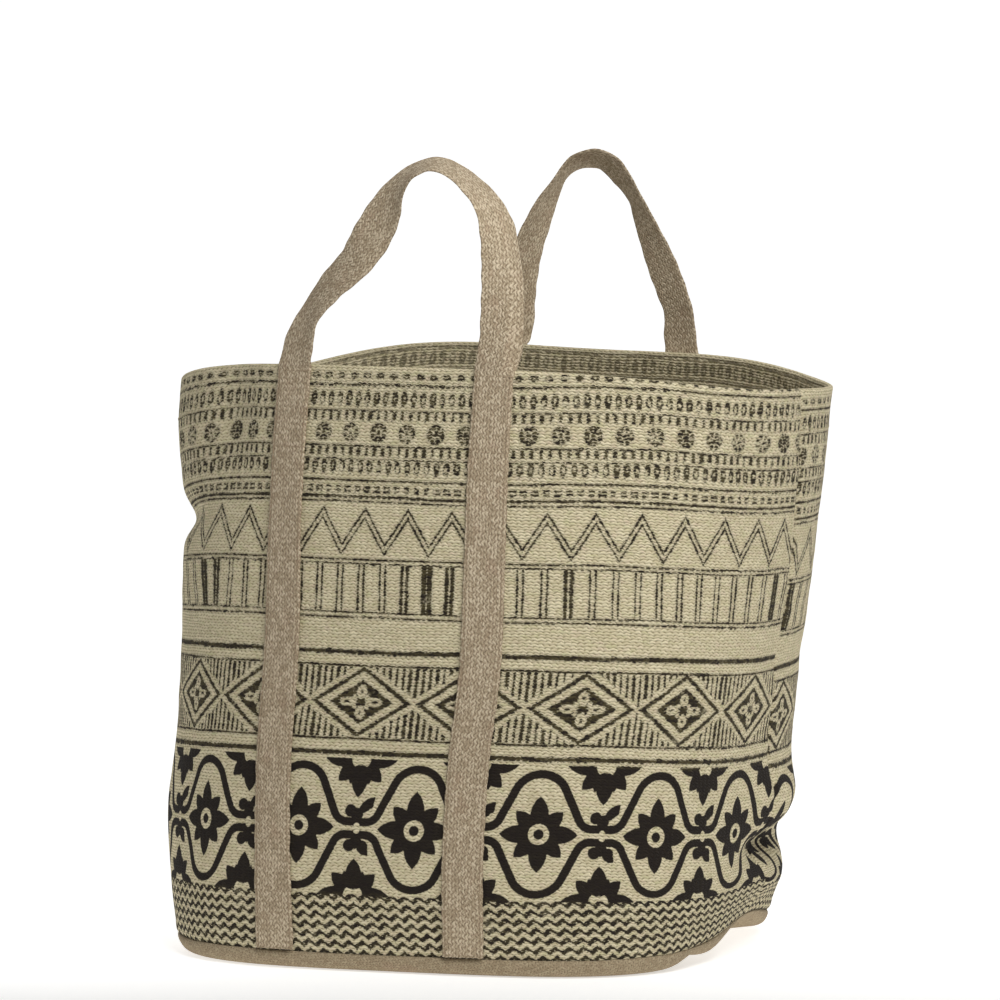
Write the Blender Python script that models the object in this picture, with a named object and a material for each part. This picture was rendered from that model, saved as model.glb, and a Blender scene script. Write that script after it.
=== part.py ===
"""Large soft burlap bag: two printed panels, a plain jute base and two webbing handles.

Metres, +Z up. The front panel faces -Y, the origin is on the surface under the base.
Every cloth piece is cut from one draped surface, read as surface(around, up): `around` runs
along the cloth from the middle of the front towards +X, `up` runs up it from the base seam.
"""

import functools
import math
from collections import namedtuple

import bpy
import numpy as np

# ------------------------------------------------------------------ driving sizes
GIRTH = 1.439               # cloth round the bag, the same at every height
PANEL_HEIGHT = 0.463        # base seam to rim, along the cloth
CLOTH = 0.0022              # burlap thickness
HEM_DEPTH = 0.035           # top edge folded to the inside
HEM_STEP = 0.002            # the fold's raw edge, where two layers become one
RIM_ROUND = 0.0012          # rise of the folded edge between its two faces
RIM_ROUND_INSETS = (0.6 * CLOTH, 1.4 * CLOTH)   # where the rounding lies, in from the outer face
SEAM_GAP = 0.0004           # gap between pieces that are sewn edge to edge
SIDE_SEAM_SHIFT = 0.009     # both side seams stand this far round from the quarter points
HALF_DEPTH_RANGE = (0.05, 0.40)     # between these the half depth of a section is found
HALVINGS = 40               # steps of that search

BASE_TURN_UP = 0.014        # height of the base's turned-up edge
BASE_EDGE_SHARE = 0.92      # where that edge has come down, as a share of the base's outline
BASE_FLAT_SHARE = 0.62      # part of the base that lies flat, as a share of its outline

WEBBING_WIDTH = 0.032
WEBBING = 0.0022            # webbing thickness
WEBBING_GAP = 0.0010        # air between webbing and cloth
WEBBING_SOFTEN = 0.0006     # how much thinner the webbing is at its two edges
LEG_START = 0.0015          # the legs start this far above the base seam
FACING = math.radians(25)   # handle rolls are measured from this direction, round from -Y
LEAVE_SHARE = 0.55          # the free arch starts this far along its first step over the rim
AHEAD = 0.001               # step along the arch that gives its direction

CLOTH_ROUGHNESS = 0.92
SHARP_EDGE = math.radians(40)       # edges that turn more than this are shaded sharp

PANEL_COLUMNS = 36          # cloth segments across one panel
PANEL_ROWS = 14             # cloth segments up one panel, below its hem
BASE_COLUMNS = 72
WEBBING_COLUMNS = 4
ARCH_STATIONS = 40
LOOP_POINTS = 721           # points that measure one loop of the cloth

# ------------------------------------------------------------------ tables
Section = namedtuple("Section", "up half_width squareness shift_x shift_y turn level right_drop left_drop")
SECTIONS = (
    Section(0.000, 0.217, 3.35, -0.025, 0.008, 7.0, BASE_TURN_UP, 0.000, 0.000),
    Section(0.070, 0.231, 2.75, -0.019, 0.000, 4.5, 0.080, 0.012, 0.005),
    Section(0.150, 0.232, 2.70, -0.014, 0.000, 2.5, 0.159, 0.014, 0.009),
    Section(0.230, 0.237, 2.55, -0.007, -0.002, 1.5, 0.236, 0.014, 0.008),
    Section(0.310, 0.246, 2.40, -0.001, -0.003, -1.5, 0.312, 0.014, 0.016),
    Section(0.390, 0.256, 2.40, 0.004, -0.005, -5.0, 0.387, 0.016, 0.029),
    Section(0.463, 0.264, 2.60, 0.008, -0.009, -8.0, 0.457, 0.016, 0.025),
)

# A fold pushes the cloth in (negative depth) or out over an oval patch of it.
Fold = namedtuple("Fold", "around up reach_around reach_up depth")
FOLDS = (
    Fold(-0.250, 0.350, 0.055, 0.017, -0.011),   # crease across the left side, under its band
    Fold(-0.235, 0.420, 0.060, 0.035, 0.004),    # the cloth above it, blown out
    Fold(-0.155, 0.435, 0.028, 0.060, -0.009),   # upright trough in the left corner of the rim
    Fold(-0.250, 0.110, 0.060, 0.040, 0.004),    # low bulge on the left
    Fold(0.400, 0.086, 0.060, 0.014, -0.020),    # crease across the right side, near the base
    Fold(0.395, 0.128, 0.060, 0.024, 0.011),     # swell above that crease
    Fold(0.380, 0.042, 0.060, 0.022, 0.009),     # swell that hangs over the base seam
    Fold(0.395, 0.235, 0.050, 0.018, -0.004),    # shallow crease half way up the right side
    Fold(0.300, 0.405, 0.020, 0.050, -0.004),    # upright dent before the right side seam
    Fold(-0.600, 0.300, 0.070, 0.060, -0.006),   # hollow in the back, left of its middle
    Fold(0.620, 0.170, 0.080, 0.050, -0.005),    # hollow in the back, low on the right
    Fold(0.500, 0.380, 0.040, 0.060, -0.005),    # trough below the back rim
)

# A slump raises (positive rise) or lowers the cloth over an oval patch of it.
Slump = namedtuple("Slump", "around up reach_around reach_up rise")
SLUMPS = (
    Slump(0.380, 0.000, 0.090, 0.060, 0.014),    # the base's right corner, lifted off the ground
    Slump(0.500, 0.463, 0.090, 0.120, -0.008),   # the rim behind the right corner, fallen
    Slump(-0.520, 0.463, 0.120, 0.150, 0.008),   # the back rim on the left, standing higher
)

# Free arch of a handle: `along` from the middle between its legs, `rise` above their tops,
# `roll` turns the face from FACING (0) to straight out of the arch (90).
Arch = namedtuple("Arch", "along rise roll")
FRONT_ARCH = (
    Arch(-0.085, 0.020, 46),
    Arch(-0.077, 0.038, 60),
    Arch(-0.057, 0.062, 50),
    Arch(-0.034, 0.082, 36),
    Arch(-0.019, 0.101, 22),
    Arch(-0.008, 0.118, 34),
    Arch(0.004, 0.137, 62),
    Arch(0.019, 0.150, 75),
    Arch(0.037, 0.155, 72),
    Arch(0.056, 0.150, 68),
    Arch(0.071, 0.140, 61),
    Arch(0.085, 0.126, 52),
    Arch(0.095, 0.102, 28),
    Arch(0.098, 0.075, 6),
    Arch(0.097, 0.043, -10),
    Arch(0.095, 0.020, -16),
)
BACK_ARCH = (
    Arch(-0.075, 0.020, -5),
    Arch(-0.073, 0.040, -15),
    Arch(-0.069, 0.060, -28),
    Arch(-0.062, 0.081, -42),
    Arch(-0.053, 0.101, -50),
    Arch(-0.043, 0.121, -62),
    Arch(-0.030, 0.139, -76),
    Arch(-0.013, 0.150, -64),
    Arch(0.002, 0.152, -60),
    Arch(0.016, 0.147, -58),
    Arch(0.028, 0.136, -66),
    Arch(0.037, 0.123, -72),
    Arch(0.044, 0.108, -64),
    Arch(0.053, 0.089, -54),
    Arch(0.062, 0.070, -45),
    Arch(0.071, 0.050, -44),
    Arch(0.078, 0.031, -46),
    Arch(0.079, 0.016, -40),
)

# A leg's middle, as `around` at its foot and at the rim.
Leg = namedtuple("Leg", "foot rim")
Handle = namedtuple("Handle", "node left right arch")
HANDLES = (
    Handle("handle_front", Leg(-0.095, -0.082), Leg(0.057, 0.098), FRONT_ARCH),
    Handle("handle_back", Leg(GIRTH / 2 + 0.100, GIRTH / 2 + 0.104),
           Leg(GIRTH / 2 - 0.064, GIRTH / 2 - 0.058), BACK_ARCH),
)

# The base's turned-up edge: distance in from its outline, and height as a share of the edge.
BASE_EDGE = ((0.0, 1.0), (0.0008, 0.62), (0.0040, 0.24), (0.0100, 0.05), (0.0190, 0.0))
BASE_INNER_SHARES = (0.80, BASE_FLAT_SHARE)


# ------------------------------------------------------------------ the draped surface
def smooth_through(stations, values, at):
    """Value at `at` of the smooth curve through a table column."""
    stations = np.asarray(stations, float)
    values = np.asarray(values, float)
    slopes = np.gradient(values, stations, axis=0)
    low = int(np.clip(np.searchsorted(stations, at) - 1, 0, len(stations) - 2))
    span = stations[low + 1] - stations[low]
    t = (at - stations[low]) / span
    return ((2 * t**3 - 3 * t**2 + 1) * values[low] + (t**3 - 2 * t**2 + t) * span * slopes[low]
            + (3 * t**2 - 2 * t**3) * values[low + 1] + (t**3 - t**2) * span * slopes[low + 1])


def loop_points(half_width, half_depth, squareness):
    """One rounded-oblong loop, from the middle of the front, and its length at each point."""
    sweep = np.linspace(-math.pi / 2, 1.5 * math.pi, LOOP_POINTS)
    power = 2 / squareness
    x = half_width * np.sign(np.cos(sweep)) * np.abs(np.cos(sweep)) ** power
    y = half_depth * np.sign(np.sin(sweep)) * np.abs(np.sin(sweep)) ** power
    run = np.concatenate(([0.0], np.cumsum(np.hypot(np.diff(x), np.diff(y)))))
    return x, y, run


def depth_for_girth(half_width, squareness):
    """Half depth that uses up the whole girth of cloth at this half width."""
    low, high = HALF_DEPTH_RANGE
    for _ in range(HALVINGS):
        middle = (low + high) / 2
        if loop_points(half_width, middle, squareness)[2][-1] < GIRTH:
            low = middle
        else:
            high = middle
    return low


@functools.lru_cache(maxsize=None)
def loop_at(up):
    """The section at one height of the cloth, and its loop."""
    table = np.array(SECTIONS)
    row = Section(*smooth_through(table[:, 0], table, up))
    half_depth = depth_for_girth(row.half_width, row.squareness)
    return row, half_depth, loop_points(row.half_width, half_depth, row.squareness)


def nearness(patch, around, up):
    """Squared distance from the middle of a patch, counted in its reaches."""
    sideways = (around - patch.around + GIRTH / 2) % GIRTH - GIRTH / 2
    return (sideways / patch.reach_around) ** 2 + ((up - patch.up) / patch.reach_up) ** 2


def fold_depth(around, up):
    """How far the folds push the cloth out at one place."""
    return sum(fold.depth * math.exp(-nearness(fold, around, up)) for fold in FOLDS)


def slump_rise(around, up):
    """How far the slumps move the cloth up at one place."""
    return sum(slump.rise * math.exp(-nearness(slump, around, up)) for slump in SLUMPS)


def surface(around, up, out=0.0):
    """Point on the cloth's outer face, `out` metres off it, and the outward direction there."""
    row, half_depth, (loop_x, loop_y, run) = loop_at(round(up, 6))
    along = (around / GIRTH) % 1.0 * run[-1]
    x = float(np.interp(along, run, loop_x))
    y = float(np.interp(along, run, loop_y))
    steep = row.squareness - 1
    normal = np.array([math.copysign((abs(x) / row.half_width) ** steep / row.half_width, x),
                       math.copysign((abs(y) / half_depth) ** steep / half_depth, y), 0.0])
    normal /= np.linalg.norm(normal)
    side = x / row.half_width
    z = row.level - row.right_drop * max(side, 0.0) ** 4 - row.left_drop * max(-side, 0.0) ** 4
    z += slump_rise(around, up)
    point = np.array([x, y, z]) + normal * (out + fold_depth(around, up))
    turn = math.radians(row.turn)
    spin = np.array([[math.cos(turn), -math.sin(turn), 0.0],
                     [math.sin(turn), math.cos(turn), 0.0],
                     [0.0, 0.0, 1.0]])
    return spin @ point + (row.shift_x, row.shift_y, 0.0), spin @ normal


# ------------------------------------------------------------------ making solids
def new_object(name, points, faces, material):
    """A mesh object of the given points and faces, smooth shaded."""
    mesh = bpy.data.meshes.new(name)
    mesh.from_pydata([tuple(point) for point in points], [], faces)
    mesh.materials.append(material)
    mesh.shade_smooth()
    mesh.set_sharp_from_angle(angle=SHARP_EDGE)
    made = bpy.data.objects.new(name, mesh)
    bpy.context.scene.collection.objects.link(made)
    return made


def fabric(name, colour):
    """Matt woven cloth of one colour."""
    material = bpy.data.materials.new(name)
    material.use_nodes = True
    shader = material.node_tree.nodes["Principled BSDF"]
    shader.inputs["Base Color"].default_value = (*colour, 1.0)
    shader.inputs["Roughness"].default_value = CLOTH_ROUGHNESS
    shader.inputs["Metallic"].default_value = 0.0
    return material


def closed_strip(rings, looped=False):
    """Faces of a tube of equal rings of points, with capped ends unless it is looped.

    The first half of a ring runs up one side of the sheet and the second half back down the
    other, so that a cap is a strip of quads between the two.
    """
    around = len(rings[0])
    faces = []
    count = len(rings) if looped else len(rings) - 1
    for step in range(count):
        here, there = step * around, (step + 1) % len(rings) * around
        for k in range(around):
            k2 = (k + 1) % around
            faces.append((here + k, there + k, there + k2, here + k2))
    if not looped:
        last = (len(rings) - 1) * around
        for k in range(around // 2 - 1):
            mate = around - 1 - k
            faces.append((k, k + 1, mate - 1, mate))
            faces.append((last + k, last + mate, last + mate - 1, last + k + 1))
    return faces


def panel_rows():
    """Heights up a panel, each with the thickness of the cloth there."""
    hem_edge = PANEL_HEIGHT - HEM_DEPTH
    rows = [(up, CLOTH) for up in np.linspace(0.0, hem_edge - HEM_STEP, PANEL_ROWS + 1)]
    rows += [(hem_edge, 2 * CLOTH), (PANEL_HEIGHT - HEM_DEPTH / 2, 2 * CLOTH), (PANEL_HEIGHT, 2 * CLOTH)]
    return rows


def body_panel(name, start, end, material):
    """One printed panel from side seam to side seam, its hem folded in at the rim."""
    rows = panel_rows()
    rings = []
    for around in np.linspace(start + SEAM_GAP / 2, end - SEAM_GAP / 2, PANEL_COLUMNS + 1):
        outer = [surface(around, up)[0] for up, _ in rows]
        inner = [surface(around, up, -thick)[0] for up, thick in rows]
        crown = [surface(around, PANEL_HEIGHT, -inset)[0] + (0.0, 0.0, RIM_ROUND)
                 for inset in RIM_ROUND_INSETS]
        rings.append(outer + crown + inner[::-1])
    points = [point for ring in rings for point in ring]
    return new_object(name, points, closed_strip(rings), material)


def base_panel(material):
    """The jute base: flat underneath, its edge turned up to the seam all round."""
    seam_level = BASE_TURN_UP - SEAM_GAP
    middle = np.array([SECTIONS[0].shift_x, SECTIONS[0].shift_y])
    rings = []
    for around in np.arange(BASE_COLUMNS) * GIRTH / BASE_COLUMNS:
        outline = surface(around, 0.0)[0]
        lift = outline[2] - BASE_TURN_UP
        under, above = [], []
        for inset, height in BASE_EDGE:
            share = 1 - inset / BASE_EDGE[-1][0] * (1 - BASE_EDGE_SHARE)
            rise = lift * fade(share)
            outer = surface(around, 0.0, -inset)[0]
            inner = surface(around, 0.0, -inset - CLOTH * height)[0]
            under.append((outer[0], outer[1], seam_level * height + rise))
            above.append((inner[0], inner[1], seam_level * height + CLOTH * (1 - height) + rise))
        reach = np.array(under[-1][:2]) - middle
        for share in BASE_INNER_SHARES:
            spot = middle + reach * share
            rise = lift * fade(share * BASE_EDGE_SHARE)
            under.append((*spot, rise))
            above.append((*spot, CLOTH + rise))
        rings.append(under + above[::-1])
    points = [point for ring in rings for point in ring]
    depth = len(rings[0])
    faces = []
    for step in range(BASE_COLUMNS):
        here, there = step * depth, (step + 1) % BASE_COLUMNS * depth
        for k in range(depth):
            if k != depth // 2 - 1:
                k2 = (k + 1) % depth
                faces.append((here + k, here + k2, there + k2, there + k))
    inner_edge = [step * depth + depth // 2 for step in range(BASE_COLUMNS)]
    faces.append(tuple(inner_edge))
    faces.append(tuple(spot - 1 for spot in reversed(inner_edge)))
    return new_object("base_panel", points, faces, material)


def fade(share):
    """Share of the seam's lift that the base has at this share of its outline."""
    reach = max(share - BASE_FLAT_SHARE, 0.0) / (1 - BASE_FLAT_SHARE)
    return reach * reach * (3 - 2 * reach)


# ------------------------------------------------------------------ handles
def webbing_ring(centre, across, out):
    """Ring of points round the webbing where it is free, from its middle line."""
    front, back = [], []
    for k in range(WEBBING_COLUMNS + 1):
        share = 2 * k / WEBBING_COLUMNS - 1
        half = (WEBBING - WEBBING_SOFTEN * share**4) / 2
        spot = centre + across * share * WEBBING_WIDTH / 2
        front.append(spot + out * half)
        back.append(spot - out * half)
    return back + front[::-1]


def leg_ring(around, up):
    """Ring of points round the webbing where it lies on the panel."""
    front, back = [], []
    for k in range(WEBBING_COLUMNS + 1):
        share = 2 * k / WEBBING_COLUMNS - 1
        soften = WEBBING_SOFTEN * share**4 / 2
        spot = around + share * WEBBING_WIDTH / 2
        front.append(surface(spot, up, WEBBING_GAP + WEBBING - soften)[0])
        back.append(surface(spot, up, WEBBING_GAP + soften)[0])
    return back + front[::-1]


def leg_top(leg):
    """Middle of the webbing where a leg leaves the rim."""
    return surface(leg.rim, PANEL_HEIGHT, WEBBING_GAP + WEBBING / 2)


def arch_rings(left, right, arch, flip):
    """Rings along the free arch, from above one leg to above the other.

    `flip` is -1 for a handle whose legs' outer faces look away from FACING.
    """
    start, end = leg_top(left)[0], leg_top(right)[0]
    middle = (start + end) / 2
    along = (end - start) * (1, 1, 0)
    along /= np.linalg.norm(along)
    facing = np.array([math.sin(FACING), -math.cos(FACING), 0.0])
    line = [start] + [middle + along * row.along + (0, 0, row.rise) for row in arch] + [end]
    rolls = [arch[0].roll] + [row.roll for row in arch] + [arch[-1].roll]
    steps = np.linalg.norm(np.diff(line, axis=0), axis=1)
    run = np.concatenate(([0.0], np.cumsum(steps)))
    ends = (run[1] * LEAVE_SHARE, run[-1] - steps[-1] * LEAVE_SHARE)
    rings = []
    for at in np.linspace(*ends, ARCH_STATIONS):
        centre = smooth_through(run, line, at)
        ahead = smooth_through(run, line, at + AHEAD) - smooth_through(run, line, at - AHEAD)
        ahead /= np.linalg.norm(ahead)
        face = facing - ahead * (facing @ ahead)
        face /= np.linalg.norm(face)
        outward = np.cross(face, ahead)
        roll = math.radians(float(smooth_through(run, rolls, at)))
        normal = flip * (face * math.cos(roll) + outward * math.sin(roll))
        rings.append(webbing_ring(centre, np.cross(ahead, normal), normal))
    return rings


def handle(spec, material):
    """One webbing: up a panel, over the arch and down the panel again, in one length."""
    heights = [LEG_START] + [up for up, _ in panel_rows()[1:]]
    flip = 1 if spec.node == "handle_front" else -1
    rings = []
    for up in heights:
        share = up / PANEL_HEIGHT
        rings.append(leg_ring(spec.left.foot + (spec.left.rim - spec.left.foot) * share, up))
    rings += arch_rings(spec.left, spec.right, spec.arch, flip)
    for up in reversed(heights):
        share = up / PANEL_HEIGHT
        ring = leg_ring(spec.right.foot + (spec.right.rim - spec.right.foot) * share, up)
        rings.append([ring[k] for k in mirror_order(len(ring))])
    points = [point for ring in rings for point in ring]
    return new_object(spec.node, points, closed_strip(rings), material)


def mirror_order(count):
    """Order that runs a leg's ring the other way across, for the leg that the webbing comes down."""
    half = count // 2
    return list(range(half - 1, -1, -1)) + list(range(count - 1, half - 1, -1))


# ------------------------------------------------------------------ the bag
def build():
    """Model every piece of the bag."""
    for old in list(bpy.data.objects):
        bpy.data.objects.remove(old, do_unlink=True)
    printed = fabric("printed_burlap", (0.56, 0.51, 0.34))
    jute = fabric("plain_jute", (0.34, 0.27, 0.18))
    webbing = fabric("jute_webbing", (0.36, 0.28, 0.19))
    seam = GIRTH / 4
    body_panel("body_front_panel", SIDE_SEAM_SHIFT - seam, SIDE_SEAM_SHIFT + seam, printed)
    body_panel("body_back_panel", SIDE_SEAM_SHIFT + seam, SIDE_SEAM_SHIFT + 3 * seam, printed)
    base_panel(jute)
    for spec in HANDLES:
        handle(spec, webbing)


build()
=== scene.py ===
"""Looks of a large burlap bag: block-printed panels, a plain jute base and webbing handles.

Metres, +Z up, the front panel faces -Y. The cloth is one draped surface, read by the distance
round the bag (from the middle of the front, towards +X) and the distance up it from the base
seam. Every mesh carries a "cloth" attribute with those two distances and a third number that
tells its faces apart, and the weaves and the print are worked out from it.
"""

import logging
import math
from dataclasses import dataclass
from enum import Enum
from functools import reduce

import bpy
import numpy as np
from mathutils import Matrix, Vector, noise


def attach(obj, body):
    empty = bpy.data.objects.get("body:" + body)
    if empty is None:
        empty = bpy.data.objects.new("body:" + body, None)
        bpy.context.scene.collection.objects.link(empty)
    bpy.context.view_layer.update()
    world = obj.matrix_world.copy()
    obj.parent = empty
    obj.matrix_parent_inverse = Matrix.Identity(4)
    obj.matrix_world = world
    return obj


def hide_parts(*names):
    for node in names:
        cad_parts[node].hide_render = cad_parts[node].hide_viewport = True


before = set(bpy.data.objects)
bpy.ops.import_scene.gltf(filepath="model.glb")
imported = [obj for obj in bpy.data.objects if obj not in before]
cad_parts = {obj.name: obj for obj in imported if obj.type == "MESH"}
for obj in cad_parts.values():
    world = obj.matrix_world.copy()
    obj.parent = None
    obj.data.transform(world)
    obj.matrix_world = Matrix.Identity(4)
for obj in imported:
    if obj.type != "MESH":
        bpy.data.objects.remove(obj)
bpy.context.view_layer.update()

LOG = logging.getLogger("burlap_bag")
ROOT = "root"
CLOTH_ATTRIBUTE = "cloth"
LIFT_ATTRIBUTE = "lift"

Colour = tuple[float, float, float]
Points = np.ndarray
Path = tuple[Points, Points]


# =============================================================== shader and geometry maths
class Value:
    """A number's socket, on which Python's operators add Math nodes."""

    def __init__(self, graph: "Graph", socket: bpy.types.NodeSocket) -> None:
        """Wrap one output socket of a graph."""
        self.graph = graph
        self.socket = socket

    def __add__(self, other: "Value | float") -> "Value":
        """Sum."""
        return self.graph.maths("ADD", self, other)

    __radd__ = __add__

    def __sub__(self, other: "Value | float") -> "Value":
        """Difference."""
        return self.graph.maths("SUBTRACT", self, other)

    def __rsub__(self, other: "Value | float") -> "Value":
        """Difference from a number."""
        return self.graph.maths("SUBTRACT", other, self)

    def __mul__(self, other: "Value | float") -> "Value":
        """Product."""
        return self.graph.maths("MULTIPLY", self, other)

    __rmul__ = __mul__

    def __truediv__(self, other: "Value | float") -> "Value":
        """Quotient."""
        return self.graph.maths("DIVIDE", self, other)

    def __pow__(self, other: float) -> "Value":
        """Power."""
        return self.graph.maths("POWER", self, other)

    def __neg__(self) -> "Value":
        """The same number with its sign turned."""
        return self.graph.maths("MULTIPLY", self, -1.0)

    def __abs__(self) -> "Value":
        """Size without sign."""
        return self.graph.maths("ABSOLUTE", self)

    def wrap(self, half: float) -> "Value":
        """Repeat every two halves, from -half to half."""
        return self.graph.maths("WRAP", self, half, -half)

    def triangle(self, top: float) -> "Value":
        """Triangle wave between 0 and top, with its zeros two tops apart."""
        return self.graph.maths("PINGPONG", self, top)

    def floor(self) -> "Value":
        """Whole part."""
        return self.graph.maths("FLOOR", self)

    def sine(self) -> "Value":
        """Sine of radians."""
        return self.graph.maths("SINE", self)

    def root(self) -> "Value":
        """Square root."""
        return self.graph.maths("SQRT", self)

    def soft(self, low: float, high: float) -> "Value":
        """Smooth step from 0 at low to 1 at high."""
        return self.graph.value("ShaderNodeMapRange", {"interpolation_type": "SMOOTHSTEP"},
                                {"Value": self, "From Min": low, "From Max": high})


class Graph:
    """A node tree in the making."""

    def __init__(self, tree: bpy.types.NodeTree) -> None:
        """Start on an empty tree.

        Args:
            tree: the tree that the nodes go into; what it holds is deleted.
        """
        self.tree = tree
        tree.nodes.clear()

    def node(self, kind: str, settings: dict | None = None,
             sockets: dict | None = None) -> bpy.types.Node:
        """Add any node.

        Args:
            kind: the node's type.
            settings: its properties, set first.
            sockets: values or links of its inputs, by name or number.

        Returns:
            The new node.
        """
        made = self.tree.nodes.new(kind)
        for name, setting in (settings or {}).items():
            setattr(made, name, setting)
        for key, given in (sockets or {}).items():
            if isinstance(given, Value):
                given = given.socket
            if isinstance(given, bpy.types.NodeSocket):
                self.tree.links.new(given, made.inputs[key])
            elif isinstance(given, tuple) and made.inputs[key].type == "RGBA":
                made.inputs[key].default_value = (*given, 1.0)
            else:
                made.inputs[key].default_value = given
        return made

    def value(self, kind: str, settings: dict | None = None, sockets: dict | None = None,
              output: str | int = 0) -> Value:
        """Add any node and wrap one of its outputs.

        Args:
            kind: the node's type.
            settings: its properties.
            sockets: values or links of its inputs.
            output: the wrapped output, by name or number.

        Returns:
            The wrapped output.
        """
        return Value(self, self.node(kind, settings, sockets).outputs[output])

    def maths(self, operation: str, *terms: "Value | float") -> Value:
        """Add a Math node on its terms."""
        return self.value("ShaderNodeMath", {"operation": operation}, dict(enumerate(terms)))

    def least(self, *terms: "Value | float") -> Value:
        """Smallest of several numbers."""
        return reduce(lambda low, term: self.maths("MINIMUM", low, term), terms)

    def most(self, *terms: "Value | float") -> Value:
        """Largest of several numbers."""
        return reduce(lambda high, term: self.maths("MAXIMUM", high, term), terms)

    def length(self, x: Value, y: Value) -> Value:
        """Distance from the origin."""
        return (x * x + y * y).root()

    def vector(self, x: "Value | float", y: "Value | float", z: "Value | float" = 0.0) -> Value:
        """Three numbers as one vector."""
        return self.value("ShaderNodeCombineXYZ", None, {0: x, 1: y, 2: z})

    def clouds(self, place: Value, scale: float, detail: float = 1.0) -> Value:
        """Soft noise about 0, from about -0.5 to 0.5."""
        sockets = {"Vector": place, "Scale": scale, "Detail": detail, "Roughness": 0.6}
        return self.value("ShaderNodeTexNoise", None, sockets) - 0.5

    def dice(self, place: Value) -> Value:
        """A random number from 0 to 1, the same all over one whole-numbered place."""
        return self.value("ShaderNodeTexWhiteNoise", {"noise_dimensions": "2D"}, {"Vector": place})

    def blend(self, share: "Value | float", low: "Colour | Value", high: "Colour | Value") -> Value:
        """Mix two colours.

        Args:
            share: how much of the second one shows.
            low: the first colour.
            high: the second colour.

        Returns:
            The mixed colour.
        """
        return self.value("ShaderNodeMix", {"data_type": "RGBA"}, {0: share, 6: low, 7: high}, 2)


# =============================================================== sizes of the cloth
@dataclass(frozen=True)
class Section:
    """Outline of the bag at one height of its cloth."""

    up: float
    half_width: float
    squareness: float
    shift_x: float
    shift_y: float
    turn: float
    level: float
    right_drop: float
    left_drop: float


@dataclass(frozen=True)
class Patch:
    """An oval patch of cloth that is moved by `amount` at its middle."""

    around: float
    up: float
    reach_around: float
    reach_up: float
    amount: float


@dataclass(frozen=True)
class Arch:
    """A point of a handle's free arch and how its face is rolled there, in degrees."""

    along: float
    rise: float
    roll: float


@dataclass(frozen=True)
class Leg:
    """Middle of a sewn-down webbing, as a distance round the bag, at its foot and at the rim."""

    foot: float
    rim: float

    def at(self, up: float) -> float:
        """Distance round the bag of the webbing's middle at one height of the cloth."""
        return self.foot + (self.rim - self.foot) * up / PANEL_HEIGHT


GIRTH = 1.439
PANEL_HEIGHT = 0.463
CLOTH = 0.0022
HEM_DEPTH = 0.035
HEM_EDGE = PANEL_HEIGHT - HEM_DEPTH
SEAM_GAP = 0.0001
SIDE_SEAM_SHIFT = 0.009
BASE_TURN_UP = 0.014
BASE_EDGE_SHARE = 0.92
BASE_FLAT_SHARE = 0.62
WEBBING_WIDTH = 0.032
WEBBING = 0.0022
WEBBING_GAP = 0.0010
LEG_START = 0.0015
FACING = math.radians(25)
ROUNDING = 1e-6
DIAGONAL = 0.707

SECTIONS = (
    Section(0.000, 0.217, 3.35, -0.025, 0.008, 7.0, BASE_TURN_UP, 0.000, 0.000),
    Section(0.070, 0.231, 2.75, -0.019, 0.000, 4.5, 0.080, 0.012, 0.005),
    Section(0.150, 0.232, 2.70, -0.014, 0.000, 2.5, 0.159, 0.014, 0.009),
    Section(0.230, 0.237, 2.55, -0.007, -0.002, 1.5, 0.236, 0.014, 0.008),
    Section(0.310, 0.246, 2.40, -0.001, -0.003, -1.5, 0.312, 0.014, 0.016),
    Section(0.390, 0.256, 2.40, 0.004, -0.005, -5.0, 0.387, 0.016, 0.029),
    Section(0.463, 0.264, 2.60, 0.008, -0.009, -8.0, 0.457, 0.016, 0.025),
)

FOLDS = (
    Patch(-0.250, 0.350, 0.055, 0.017, -0.011),   # crease across the left side, under its band
    Patch(-0.235, 0.420, 0.060, 0.035, 0.004),    # the cloth above it, blown out
    Patch(-0.155, 0.435, 0.028, 0.060, -0.009),   # upright trough in the left corner of the rim
    Patch(-0.250, 0.110, 0.060, 0.040, 0.004),    # low bulge on the left
    Patch(0.400, 0.086, 0.060, 0.014, -0.020),    # crease across the right side, near the base
    Patch(0.395, 0.128, 0.060, 0.024, 0.011),     # swell above that crease
    Patch(0.380, 0.042, 0.060, 0.022, 0.009),     # swell that hangs over the base seam
    Patch(0.395, 0.235, 0.050, 0.018, -0.004),    # shallow crease half way up the right side
    Patch(0.300, 0.405, 0.020, 0.050, -0.004),    # upright dent before the right side seam
    Patch(-0.600, 0.300, 0.070, 0.060, -0.006),   # hollow in the back, left of its middle
    Patch(0.620, 0.170, 0.080, 0.050, -0.005),    # hollow in the back, low on the right
    Patch(0.500, 0.380, 0.040, 0.060, -0.005),    # trough below the back rim
)

SLUMPS = (
    Patch(0.380, 0.000, 0.090, 0.060, 0.014),     # the base's right corner, lifted off the ground
    Patch(0.500, 0.463, 0.090, 0.120, -0.008),    # the rim behind the right corner, fallen
    Patch(-0.520, 0.463, 0.120, 0.150, 0.008),    # the back rim on the left, standing higher
)

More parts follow.
